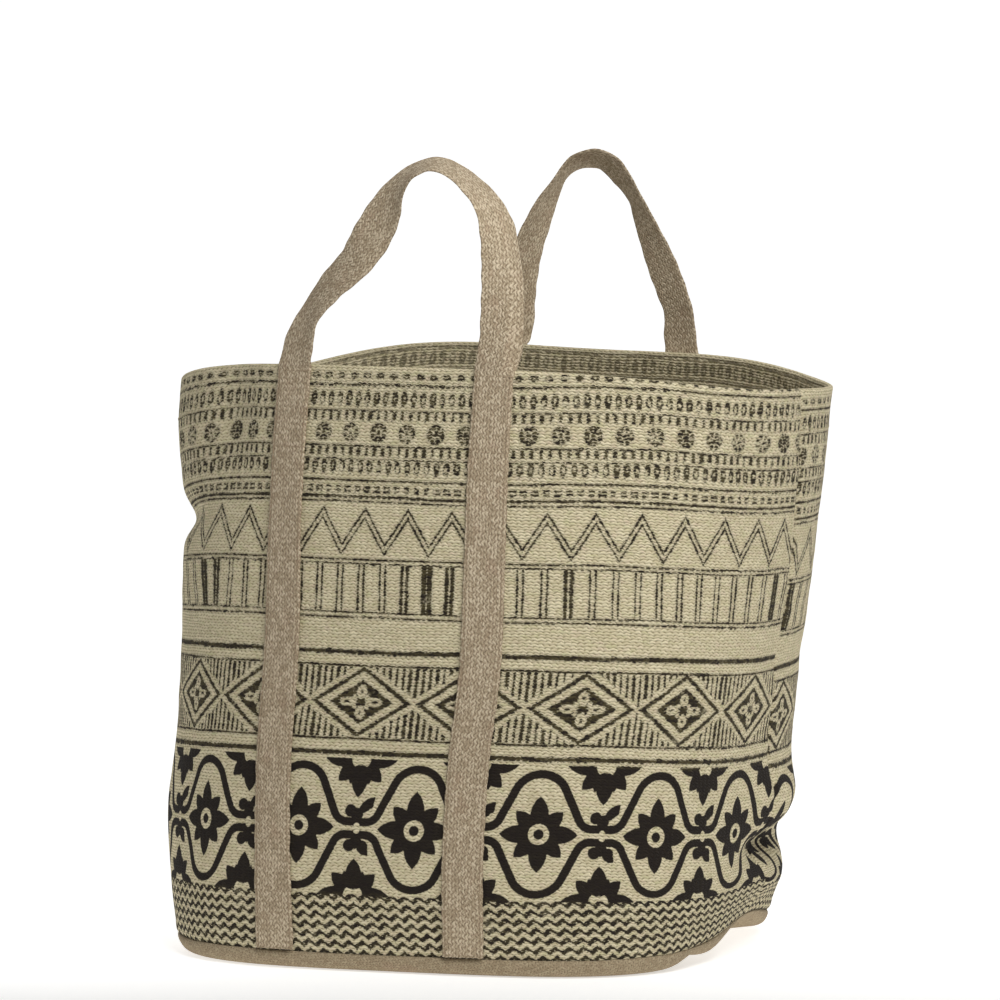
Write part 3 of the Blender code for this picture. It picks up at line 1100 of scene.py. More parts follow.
@dataclass(frozen=True)
class Stitching:
    """Lock stitches of one thread, all alike, laid end to end along paths on the cloth."""

    name: str
    pitch: float = 0.0042
    length: float = 0.0034
    radius: float = 0.00042
    sink: float = 0.0007
    bow: float = 0.55
    steps: int = 5
    sides: int = 6

    def host(self, paths: list[Path]) -> bpy.types.Object:
        """Lay the paths down as the edges of one object.

        Args:
            paths: each path's points and the outward direction at each.

        Returns:
            The object, with the directions in its lift attribute.
        """
        points, lifts = (np.concatenate(parts) for parts in zip(*paths))
        edges, first = [], 0
        for path, _ in paths:
            edges += [(first + k, first + k + 1) for k in range(len(path) - 1)]
            first += len(path)
        mesh = bpy.data.meshes.new(self.name)
        mesh.from_pydata(points.tolist(), edges, [])
        mesh.attributes.new(LIFT_ATTRIBUTE, "FLOAT_VECTOR", "POINT").data.foreach_set(
            "vector", lifts.astype(np.float32).ravel())
        host = bpy.data.objects.new(self.name, mesh)
        bpy.context.scene.collection.objects.link(host)
        return host

    def stitch(self, graph: Graph, radius: bpy.types.NodeSocket) -> bpy.types.Node:
        """Add the nodes of one stitch: a short bowed thread with its ends sunk in the cloth.

        Args:
            graph: the geometry graph.
            radius: the thread's radius.

        Returns:
            The node that gives the stitch.
        """
        half, bow = self.length / 2, self.length / 2 * self.bow
        thread = graph.node("GeometryNodeCurvePrimitiveBezierSegment", {"mode": "POSITION"},
                            {"Resolution": self.steps, "Start": (-half, 0.0, -self.sink),
                             "Start Handle": (-bow, 0.0, self.sink),
                             "End Handle": (bow, 0.0, self.sink), "End": (half, 0.0, -self.sink)})
        ring = graph.node("GeometryNodeCurvePrimitiveCircle", None,
                          {"Resolution": self.sides, "Radius": radius})
        return graph.node("GeometryNodeCurveToMesh", None,
                          {"Curve": thread.outputs[0], "Profile Curve": ring.outputs[0],
                           "Fill Caps": True})

    def build(self, paths: list[Path], material: bpy.types.Material) -> bpy.types.Object:
        """Sew along the paths.

        Args:
            paths: each path's points and the outward direction at each.
            material: the thread.

        Returns:
            The stitches as one object.
        """
        tool = NodeTool("stitch_line", {"Pitch": ("NodeSocketFloat", self.pitch),
                                        "Radius": ("NodeSocketFloat", self.radius),
                                        "Material": ("NodeSocketMaterial", material)})
        graph, given = tool.graph, tool.given.outputs
        curve = graph.node("GeometryNodeMeshToCurve", None, {"Mesh": given["Geometry"]})
        marks = graph.node("GeometryNodeResampleCurve", {"mode": "LENGTH"},
                           {"Curve": curve.outputs[0], "Length": given["Pitch"]})
        lift = graph.node("GeometryNodeInputNamedAttribute", {"data_type": "FLOAT_VECTOR"},
                          {"Name": LIFT_ATTRIBUTE})
        tangent = graph.node("GeometryNodeInputTangent")
        turned = graph.node("FunctionNodeAxesToRotation",
                            {"primary_axis": "X", "secondary_axis": "Z"},
                            {"Primary Axis": tangent.outputs[0],
                             "Secondary Axis": lift.outputs[0]})
        stitch = self.stitch(graph, given["Radius"])
        laid = graph.node("GeometryNodeInstanceOnPoints", None,
                          {"Points": marks.outputs[0], "Instance": stitch.outputs[0],
                           "Rotation": turned.outputs[0]})
        tool.finish(laid.outputs[0])
        return tool.run(self.host(paths))


# =============================================================== finishes
class Finish:
    """What every finish shares: a material with one matt fabric shader."""

    name = "finish"
    roughness = 0.95
    sheen = 0.03
    sheen_roughness = 0.6
    specular = 0.08
    bump = 1.0

    def graph(self) -> tuple[bpy.types.Material, Graph]:
        """Start the finish.

        Returns:
            A new material and its empty graph.
        """
        material = bpy.data.materials.new(self.name)
        material.use_nodes = True
        return material, Graph(material.node_tree)

    def shade(self, graph: Graph, colour: Value, height: Value, depth: float) -> None:
        """End a graph in its shader.

        Args:
            graph: the material's graph.
            colour: the surface's colour.
            height: its relief, from 0 to 1.
            depth: how deep that relief is, in metres.
        """
        bump = graph.node("ShaderNodeBump", None,
                          {"Strength": self.bump, "Distance": depth, "Height": height})
        shader = graph.node("ShaderNodeBsdfPrincipled", None,
                            {"Base Color": colour, "Roughness": self.roughness,
                             "Normal": bump.outputs[0], "Sheen Weight": self.sheen,
                             "Sheen Roughness": self.sheen_roughness,
                             "Specular IOR Level": self.specular})
        graph.node("ShaderNodeOutputMaterial", None, {"Surface": shader.outputs[0]})

    @staticmethod
    def cloth(graph: Graph) -> tuple[Value, Value, Value]:
        """Read the cloth attribute.

        Args:
            graph: the material's graph.

        Returns:
            Its two distances in millimetres, and the face number.
        """
        attribute = graph.node("ShaderNodeAttribute", {"attribute_name": CLOTH_ATTRIBUTE})
        parts = graph.node("ShaderNodeSeparateXYZ", None, {0: attribute.outputs["Vector"]})
        x, y, side = (Value(graph, output) for output in parts.outputs)
        return x * 1000, y * 1000, side


@dataclass(frozen=True)
class Yarns:
    """A weave read at one place.

    Its relief, the mask of painted shade in the gaps at the ends of floats, each float's random
    number and its streaks.
    """

    relief: Value
    gap: Value
    dice: Value
    streak: Value


@dataclass(frozen=True)
class FloatWeave:
    """Weave of thick yarns that float over the ones across them, in millimetres.

    `meander` is how far a yarn swings from its row, `crown` how round a float is along its length,
    and `slant` how much floats lean, left and right by turns.
    """

    pick: float
    float_length: float
    meander: float = 0.12
    crown: float = 0.55
    slant: float = 0.0
    uneven: float = 1.2
    plain: float = 0.65

    def read(self, graph: Graph, x: Value, y: Value) -> Yarns:
        """Work out the weave at a place.

        Args:
            graph: the graph that the nodes go into.
            x: distance along the floating yarns.
            y: distance across them.

        Returns:
            The weave there.
        """
        slow = graph.clouds(graph.vector(x * 0.03, y * 0.06), 1.0) * self.uneven
        quick = graph.clouds(graph.vector(x * 0.16, y * 0.3, 7.0), 1.0)
        column = x / self.float_length + slow
        swing = (column * (2 * math.pi)).sine() * self.meander
        row = y / self.pick + swing + slow + quick * 0.5
        pick = row.floor()
        within = row - pick
        phase = column + quick * 0.7 + pick * 0.5
        if self.slant:
            by_turns = (pick * 0.5 - (pick * 0.5).floor()) * 4 - 1
            phase = phase + by_turns * within * self.slant
        place = phase.floor()
        profile = (within * math.pi).sine()
        crown = ((phase - place) * math.pi).sine()
        dice = graph.dice(graph.vector(place, pick))
        height = dice * (1 - self.plain) + self.plain
        relief = profile * (crown * self.crown + (1 - self.crown)) * height
        # Low places at the float ends; the finishes paint shade there with this mask.
        gap = (1 - profile) * (1 - crown * 0.8)
        streak = graph.clouds(graph.vector(x * 0.42, y * 1.1), 1.0, 2.0)
        return Yarns(relief, gap, dice, streak)


@dataclass(frozen=True)
class Row:
    """A row of repeats: the height of its middle, its pitch and where one repeat's middle lies."""

    level: float
    pitch: float
    first: float = 0.0


class BlockPrint:
    """The printed bands, as distances in millimetres from the nearest ink; negative is inked.

    Levels are heights above the base seam. Every motif repeats by formula along the cloth, and
    LINES lists each straight line's level and half its width. The levels past 463 lie on the hem.
    """

    LINES = ((450.8, 0.70), (430.9, 0.35), (403.0, 0.50), (392.4, 0.30), (375.6, 0.75),
             (362.4, 1.00), (358.6, 0.55), (312.4, 0.60), (309.0, 0.50), (270.2, 0.50),
             (266.5, 0.65), (239.2, 1.80), (228.4, 0.80), (170.6, 0.85), (159.6, 1.75),
             (474.5, 0.70), (492.5, 0.60))
    DOTS = Row(457.8, 11.9)
    BLOCKS = (Row(440.2, 8.3), Row(387.0, 8.3), Row(483.5, 8.3))
    BARS = (Row(427.0, 7.2), Row(399.2, 7.2))
    ROSETTES = Row(413.6, 25.0, -69.8)
    DASHES = Row(368.6, 8.6)
    ZIGZAG = Row(335.0, 37.0, -63.0)
    LADDER = Row(289.6, 18.3, -62.4)
    DIAMONDS = Row(199.6, 86.9, -105.5)
    HATCH = Row(199.6, 5.44, -105.5)
    FLOWERS = Row(101.5, 96.0, -157.4)
    RIPPLES = Row(0.0, 10.8)

    def __init__(self, graph: Graph, x: Value, y: Value, side: Value) -> None:
        """Lay the blocks on the cloth, where the printer's hand let them slip and lean a little.

        Args:
            graph: the graph that the nodes go into.
            x: distance round the bag.
            y: distance up it.
            side: which face of the cloth it is.
        """
        slip = graph.clouds(graph.vector(x * 0.010, y * 0.016, side), 1.0)
        squeeze = (1 - x.soft(-205.0, -145.0)) * (y.soft(250.0, 310.0) * -18 + 11)
        climb = x.soft(80.0, 260.0) * (y.soft(300.0, 420.0) * 5 + 3.5)
        lean = (y - 200.0) * 0.085
        self.graph = graph
        self.y = y - climb + slip * 2.2
        self.x = x + x.soft(150.0, 285.0) * 7.5 - squeeze - lean + slip * 2.0

    def place(self, row: Row) -> tuple[Value, Value]:
        """Where a point lies in the nearest repeat of a row, from its middle."""
        return (self.x - row.first).wrap(row.pitch / 2), self.y - row.level

    def dice(self, row: Row, draw: float | None = None) -> Value:
        """A random number from 0 to 1 for each repeat of a row.

        Args:
            row: the row.
            draw: tells rows apart, the row's level if none is given.

        Returns:
            The number.
        """
        repeat = ((self.x - row.first) / row.pitch + 0.5).floor()
        return self.graph.dice(self.graph.vector(repeat, row.level if draw is None else draw))

    def box(self, x: Value, y: Value, half_width: "Value | float", half_height: float) -> Value:
        """Distance from an upright oblong about the origin."""
        return self.graph.most(abs(x) - half_width, abs(y) - half_height)

    def lines(self) -> Value:
        """The straight lines between the bands."""
        return self.graph.least(*[abs(self.y - level) - half for level, half in self.LINES])

    def blocks(self, row: Row) -> Value:
        """Small upright marks, some solid and some with a light heart.

        Args:
            row: their row.

        Returns:
            Distance from them.
        """
        (x, y), dice = self.place(row), self.dice(row)
        mark = (self.graph.length(x / 2.6, y / 5.4) - 1) * 3.0
        heart = self.graph.length((x + dice - 0.4) / 1.3, (y + dice * 3 - 1.2) / 2.0)
        return self.graph.most(mark + dice * 0.6 - 0.2, (heart - dice * 0.9 - 0.6) * -1.2)

    def bars(self, row: Row) -> Value:
        """Short bars hung from a line."""
        return self.box(*self.place(row), self.dice(row) * 0.9 + 0.8, 3.4)

    def dots(self) -> Value:
        """The row of small rings under the rim.

        Returns:
            Distance from them.
        """
        x, y = self.place(self.DOTS)
        reach = self.graph.length(x / 1.45, y)
        return self.graph.most(reach - 2.2, self.dice(self.DOTS) * 1.5 - reach)

    def dashes(self) -> Value:
        """A row of short double dashes."""
        x, y = self.place(self.DASHES)
        return self.box(x, abs(y) - 1.5, self.dice(self.DASHES) * 1.6 + 1.6, 0.85)

    def rosettes(self) -> Value:
        """A row of round flowers of eight petals.

        Returns:
            Distance from them.
        """
        (x, y), weight = self.place(self.ROSETTES), self.dice(self.ROSETTES, 9.0)
        reach = self.graph.length(x, y)
        spoke = abs((self.graph.maths("ARCTAN2", y, x) * 4).sine()) * reach / 4
        petals = self.graph.most(reach - 7.2, 2.4 - reach - weight * 1.4, 0.6 - spoke)
        return self.graph.least(petals, reach - 1.2 - weight * 0.8) - weight * 0.45 + 0.3

    def zigzag(self) -> Value:
        """The tall double zigzag.

        Returns:
            Distance from it.
        """
        row, half = self.ZIGZAG, self.ZIGZAG.pitch / 2
        wave = (self.x - row.first + half).triangle(half) * (29.0 / half)
        away = abs(self.y - (row.level - 14.8) - wave)
        pair = abs(away - 3.7) * 0.54 - 0.70
        return self.graph.most(pair, abs(self.y - row.level) - 19.5)

    def ladder(self) -> Value:
        """A row of paired upright bars, some of them printed bold.

        Returns:
            Distance from them.
        """
        (x, y), dice = self.place(self.LADDER), self.dice(self.LADDER, 3.0)
        half_width = dice.soft(0.78, 0.84) * 1.4 + dice * 0.35 + 0.55
        return self.box(abs(x) - 2.2, y, half_width, 19.5)

    def diamonds(self) -> Value:
        """A row of diamonds that hold a four-petalled figure, with hatching between them.

        Returns:
            Distance from them.
        """
        graph = self.graph
        x, y = (abs(way) for way in self.place(self.DIAMONDS))
        rim = (x / 41.6 + y / 28.6 - 1) * 23.6
        outline = abs(rim + 1.7) - 1.5
        core = (x / 26.0 + y / 17.6 - 1) * 14.6
        side_petal = (graph.length((x - 10.8) / 6.4, y / 3.3) - 1) * 4.2
        top_petal = (graph.length(x / 3.9, (y - 8.2) / 4.9) - 1) * 4.2
        cross_petal = graph.length(x - 5.2, y - 3.6) - 1.7
        petals = graph.least(side_petal, top_petal, cross_petal)
        veins = graph.least(graph.length((x - 11.4) / 2.0, y) - 0.95,
                            graph.length(x, (y - 8.6) / 1.3) - 0.95, graph.length(x, y) - 1.3)
        figure = graph.least(graph.most(core, 0.5 - petals), veins)
        weight = self.dice(self.HATCH, 5.0)
        stroke = abs(self.place(self.HATCH)[0]) - weight * 0.9 - 0.7
        hatch = graph.most(stroke, 2.6 + weight * 3 - rim, y - 28.0)
        return graph.most(graph.least(outline, figure, hatch), y - 29.0)

    def petal(self, along: Value, across: Value, middle: "Value | float",
              half_length: "Value | float", half_width: float) -> Value:
        """A pointed leaf with rounded sides.

        Args:
            along: distance along the leaf from the flower's middle.
            across: distance from the leaf's midrib.
            middle: where along it the leaf is widest.
            half_length: from there to its tip.
            half_width: half of its width there.

        Returns:
            Distance from the leaf.
        """
        radius = (half_length**2 / half_width + half_width) / 2
        return self.graph.length(along - middle, abs(across) + (radius - half_width)) - radius

    def star(self, x: Value, y: Value, hole: float) -> Value:
        """A flower of four long petals and four short ones between them.

        Args:
            x: distance from its middle, to the right.
            y: distance from its middle, upwards.
            hole: radius of its round hole.

        Returns:
            Distance from it.
        """
        graph = self.graph
        x, y = abs(x), abs(y)
        long_petal = self.petal(graph.most(x, y), graph.least(x, y), 15.0, 14.6, 6.9)
        short_petal = self.petal((x + y) * DIAGONAL, (x - y) * DIAGONAL, 13.0, 12.0, 6.0)
        reach = graph.length(x, y)
        return graph.most(graph.least(long_petal, short_petal, reach - 17.2), hole - reach)

    def vine(self, x: Value, y: Value, half_pitch: float, top: float = 46.8, bottom: float = 5.0,
             big: float = 20.5, small: float = 11.0, flat: float = 8.0, half: float = 3.2) -> Value:
        """An ogee stem: over the flower in a wide arc, then down into a hollow at the node.

        Args:
            x: distance from the flower, unsigned.
            y: height from the band's middle, unsigned.
            half_pitch: distance from the flower to the node.
            top: height of the wide arc.
            bottom: height of the hollow's bottom.
            big: radius of the wide arc.
            small: radius of the hollow's corners.
            flat: half of the hollow's flat bottom.
            half: half of the stem's width.

        Returns:
            Distance from the stem.
        """
        graph = self.graph
        corner = half_pitch - flat
        rise = bottom + small - (top - big)
        angle = math.atan2(rise, corner) + math.acos((big + small) / math.hypot(corner, rise))
        away, along = (math.cos(angle), math.sin(angle)), (math.sin(angle), -math.cos(angle))
        x_big, y_big = x, y - (top - big)
        x_small, y_small = graph.least(x, corner) - corner, y - (bottom + small)
        on_big = x_big * along[0] + y_big * along[1]
        on_small = x_small * along[0] + y_small * along[1]
        off_big = x_big * away[0] + y_big * away[1]
        off_small = x_small * away[0] + y_small * away[1]
        arc_big = graph.length(graph.least(on_big, 0.0), off_big) - big
        arc_small = small - graph.length(graph.most(on_small, 0.0), off_small)
        turning = graph.maths("LESS_THAN", on_big, 0.0)
        return abs(arc_big * turning + arc_small * (1 - turning)) - half

    def bud(self, x: Value, y: Value, upper: Value) -> Value:
        """The small bud that sits in each node of the vine, with a curl where it is an upper one.

        Args:
            x: distance from the node.
            y: height from the band's middle, unsigned.
            upper: 1 above the band's middle and 0 below it.

        Returns:
            Distance from the bud.
        """
        graph = self.graph
        lean = upper * 2.4
        neck = self.petal((x + y) * DIAGONAL, (x - y + 9.6) * DIAGONAL, 15.6 + lean, 7.0 + lean,
                          3.9)
        tip = graph.length(x - 6.4 - upper * 4.4, y - 13.8 - upper * 4.6) - (4.6 - upper * 1.5)
        return graph.least(graph.length(x + 4.8, y - 13.4) - 4.8,
                           graph.length(x - 0.6, y - 10.8) - 5.2, tip, neck)

    def flowers(self) -> Value:
        """The bold band: flowers in an ogee vine, with half flowers and buds between them.

        Returns:
            Distance from it.
        """
        graph, row = self.graph, self.FLOWERS
        half = row.pitch / 2
        shifted = self.x - row.first - (self.y - row.level) * 0.025
        x, y = shifted.wrap(half), abs(self.y - row.level)
        node = (shifted - half).wrap(half)
        flower = graph.least(self.star(x, y, 8.0), graph.length(x, y) - 3.9)
        notch = graph.length(node - 1.0, y - 1.8) - 2.4
        upper = graph.maths("GREATER_THAN", self.y, row.level)
        stem = graph.least(self.vine(abs(x), y, half), self.bud(node, y, upper))
        half_flower = self.star(node, y - 53.2, 7.8)
        return graph.most(graph.least(flower, graph.most(stem, -notch), half_flower), y - 53.6)

    def ripples(self, rise: float = 7.75) -> Value:
        """Lines of fine zigzags above the base.

        Args:
            rise: height from one line to the next.

        Returns:
            Distance from them.
        """
        half = self.RIPPLES.pitch / 2
        wave = (self.x + (self.y / rise).floor() * 1.7).triangle(half) * (4.4 / half)
        line = abs((self.y - wave - 1.9 - rise / 2).wrap(rise / 2)) * 0.78
        return self.graph.most(line - 1.36, self.y - 49.0)

    def distance(self) -> Value:
        """The whole print.

        Returns:
            Distance from its nearest ink.
        """
        rows = [self.blocks(row) for row in self.BLOCKS] + [self.bars(row) for row in self.BARS]
        return self.graph.least(self.lines(), *rows, self.dots(), self.dashes(), self.rosettes(),
                                self.zigzag(), self.ladder(), self.diamonds(), self.flowers(),
                                self.ripples())


@dataclass(frozen=True)
class PrintedBurlap(Finish):
    """Undyed coarse cloth with dark block print.

    The bands are given as the heights in millimetres between which they fade into each other:
    above `fine` the print is fine and broken, below `ripple` it is a little broken, above `upper`
    it is more so, and past `fold` it lies on the hem, where it is fainter.
    """

    name: str = "printed_burlap"
    light: Colour = (0.790, 0.705, 0.490)
    middle: Colour = (0.590, 0.512, 0.325)
    # Painted shade for the weave's hollows and the gaps at the float ends.
    groove_shade: Colour = (0.285, 0.235, 0.128)
    green: Colour = (0.580, 0.555, 0.310)
    blush: Colour = (0.660, 0.530, 0.390)
    ink: Colour = (0.0190, 0.0145, 0.0125)
    thin_ink: Colour = (0.088, 0.072, 0.034)
    stain: Colour = (0.20, 0.18, 0.14)
    depth: float = 0.0009
    fine: tuple = (155.0, 158.0)
    ripple: tuple = (46.0, 52.0)
    upper: tuple = (372.0, 392.0)
    fold: tuple = (465.0, 469.0)
    weave: FloatWeave = FloatWeave(2.45, 5.0, slant=0.45)

    def bare_colour_and_shade(self, graph: Graph, x: Value, y: Value, yarns: Yarns, patchy: Value) -> Value:
        """Colour of the bare cloth, with painted shade in the weave's hollows and gaps.

        Args:
            graph: the material's graph.
            x: distance round the bag.
            y: distance up it.
            yarns: the weave.
            patchy: slow unevenness of the cloth.

        Returns:
            The colour.
        """
        tone = (yarns.dice * 0.55 + yarns.streak * 1.9 + patchy * 0.4 + 0.24).soft(0.0, 1.0)
        tint = graph.clouds(graph.vector(x * 0.11, y * 0.24, 9.0), 1.0, 2.0)
        cloth = graph.blend(tone, self.middle, self.light)
        cloth = graph.blend(tint.soft(0.02, 0.22) * 0.6, cloth, self.green)
        cloth = graph.blend((-tint).soft(0.04, 0.22) * 0.6, cloth, self.blush)
        # Painted shade: darker where the weave is low, and darker still in the gaps at the float
        # ends.
        cloth = graph.blend((1 - yarns.relief).soft(0.42, 1.0) * 0.26, cloth, self.groove_shade)
        return graph.blend(yarns.gap.soft(0.20, 0.70) * 0.95, cloth, self.groove_shade)

    def material(self) -> bpy.types.Material:
        """Build the finish.

        Returns:
            The material.
        """
        material, graph = self.graph()
        x, y, side = self.cloth(graph)
        yarns = self.weave.read(graph, x, y)
        ragged = graph.clouds(graph.vector(x * 0.42, y * 0.55), 1.0, 2.0)
        patchy = graph.clouds(graph.vector(x * 0.045, y * 0.06, 4.0), 1.0, 2.0)
        away = BlockPrint(graph, x, y, side).distance()
        low = 1 - y.soft(*self.ripple)
        broken = graph.most(y.soft(*self.fine), low * 0.6) + y.soft(*self.upper) * 0.35
        rough = away + ragged * (broken * 0.9 + 1.1) + (yarns.dice - 0.5) * (broken * 0.85 + 0.2)
        rough = rough + (0.42 - yarns.relief) * (broken * 1.3 + 0.3)
        worn = (patchy + 0.6 * ragged).soft(0.08, 0.42) * broken
        inked = ((1 - rough.soft(-0.40, 0.40)) * (1 - worn * 0.65) * (1 - side)
                 * (1 - y.soft(*self.fold) * 0.35))
        stain = (1 - away.soft(0.2, 3.0)) * (broken * 0.13 + 0.02)
        cloth = graph.blend(stain, self.bare_colour_and_shade(graph, x, y, yarns, patchy), self.stain)
        thin = (yarns.dice * 0.5 + ragged * 0.8 + 0.25).soft(0.1, 0.9) * (broken * 0.9 + 0.1)
        ink = graph.blend(thin, self.ink, self.thin_ink)
        relief = yarns.relief + yarns.streak * 0.3
        self.shade(graph, graph.blend(inked, cloth, ink), relief, self.depth)
        return material


@dataclass(frozen=True)
class JuteWebbing(Finish):
    """Close-woven tape of thick lengthwise yarns, their floats leaning left and right by turns."""

    name: str = "jute_webbing"
    # light: the paler yarns, and also a painted highlight on the raised yarns.
    light: Colour = (0.64, 0.535, 0.385)
    middle: Colour = (0.375, 0.292, 0.192)
    # dark: the yarn's dark flecks, and also painted shade in the weave's hollows and gaps.
    dark: Colour = (0.150, 0.108, 0.066)
    blush: Colour = (0.42, 0.285, 0.195)
    depth: float = 0.0007
    weave: FloatWeave = FloatWeave(WEBBING_WIDTH * 1000 / 12, 4.4, 0.24, 0.75, 0.55)

    def material(self) -> bpy.types.Material:
        """Build the finish.

        Returns:
            The material.
        """
        material, graph = self.graph()
        x, y, _ = self.cloth(graph)
        yarns = self.weave.read(graph, y, x)
        fleck = graph.clouds(graph.vector(x * 1.05, y * 0.42), 1.0, 2.0)
        blotch = graph.clouds(graph.vector(x * 0.08, y * 0.05, 2.0), 1.0)
        # Painted highlight: the raised yarns are lighter.
        tone = (yarns.dice * 0.5 + yarns.relief * 0.5 + fleck * 2.4 - 0.05).soft(0.05, 0.95)
        colour = graph.blend(tone, self.middle, self.light)
        colour = graph.blend((-fleck).soft(0.05, 0.26) * 0.85, colour, self.dark)
        colour = graph.blend(blotch.soft(0.04, 0.30) * 0.3, colour, self.blush)
        # Painted shade: darker where the weave is low and in the gaps at the float ends.
        colour = graph.blend((1 - yarns.relief).soft(0.45, 1.0) * 0.25, colour, self.dark)
        colour = graph.blend(yarns.gap.soft(0.20, 0.8) * 0.65, colour, self.dark)
        self.shade(graph, colour, yarns.relief * 0.7 + fleck * 0.8, self.depth)
        return material


@dataclass(frozen=True)
class PlainJute(Finish):
    """Fine plain weave of the base."""

    name: str = "plain_jute"
    light: Colour = (0.435, 0.355, 0.235)
    middle: Colour = (0.285, 0.220, 0.138)
    # Painted shade for the gaps at the float ends.
    groove_shade: Colour = (0.120, 0.086, 0.052)
    blush: Colour = (0.40, 0.265, 0.185)
    depth: float = 0.0004
    weave: FloatWeave = FloatWeave(2.3, 2.9, 0.15, 0.8, 0.3)

    def material(self) -> bpy.types.Material:
        """Build the finish.

        Returns:
            The material.
        """
        material, graph = self.graph()
        x, y, _ = self.cloth(graph)
        yarns = self.weave.read(graph, x, y)
        fleck = graph.clouds(graph.vector(x * 0.75, y * 0.75), 1.0, 3.0)
        blotch = graph.clouds(graph.vector(x * 0.05, y * 0.05, 2.0), 1.0)
        tone = (yarns.dice * 0.5 + fleck * 2.8 + 0.20).soft(0.0, 1.0)
        colour = graph.blend(tone, self.middle, self.light)
        colour = graph.blend(blotch.soft(0.05, 0.3) * 0.35, colour, self.blush)
        # Painted shade in the gaps at the float ends.
        colour = graph.blend(yarns.gap.soft(0.2, 0.75) * 0.8, colour, self.groove_shade)
        self.shade(graph, colour, yarns.relief + fleck * 0.4, self.depth)
        return material


@dataclass(frozen=True)
class SewingThread(Finish):
    """Matt twisted thread."""

    name: str = "sewing_thread"
    light: Colour = (0.42, 0.325, 0.220)
    dark: Colour = (0.26, 0.195, 0.125)
    depth: float = 0.0001
    twists: float = 1800.0

    def material(self) -> bpy.types.Material:
        """Build the finish.

        Returns:
            The material.
        """
        material, graph = self.graph()
        place = graph.value("ShaderNodeTexCoord", None, None, "Object")
        twist = graph.clouds(place, self.twists)
        colour = graph.blend(twist.soft(-0.25, 0.3), self.dark, self.light)
        self.shade(graph, colour, twist + 0.5, self.depth)
        return material


HEM_THREAD = SewingThread(name="hem_thread", light=(0.60, 0.53, 0.36), dark=(0.34, 0.28, 0.17))


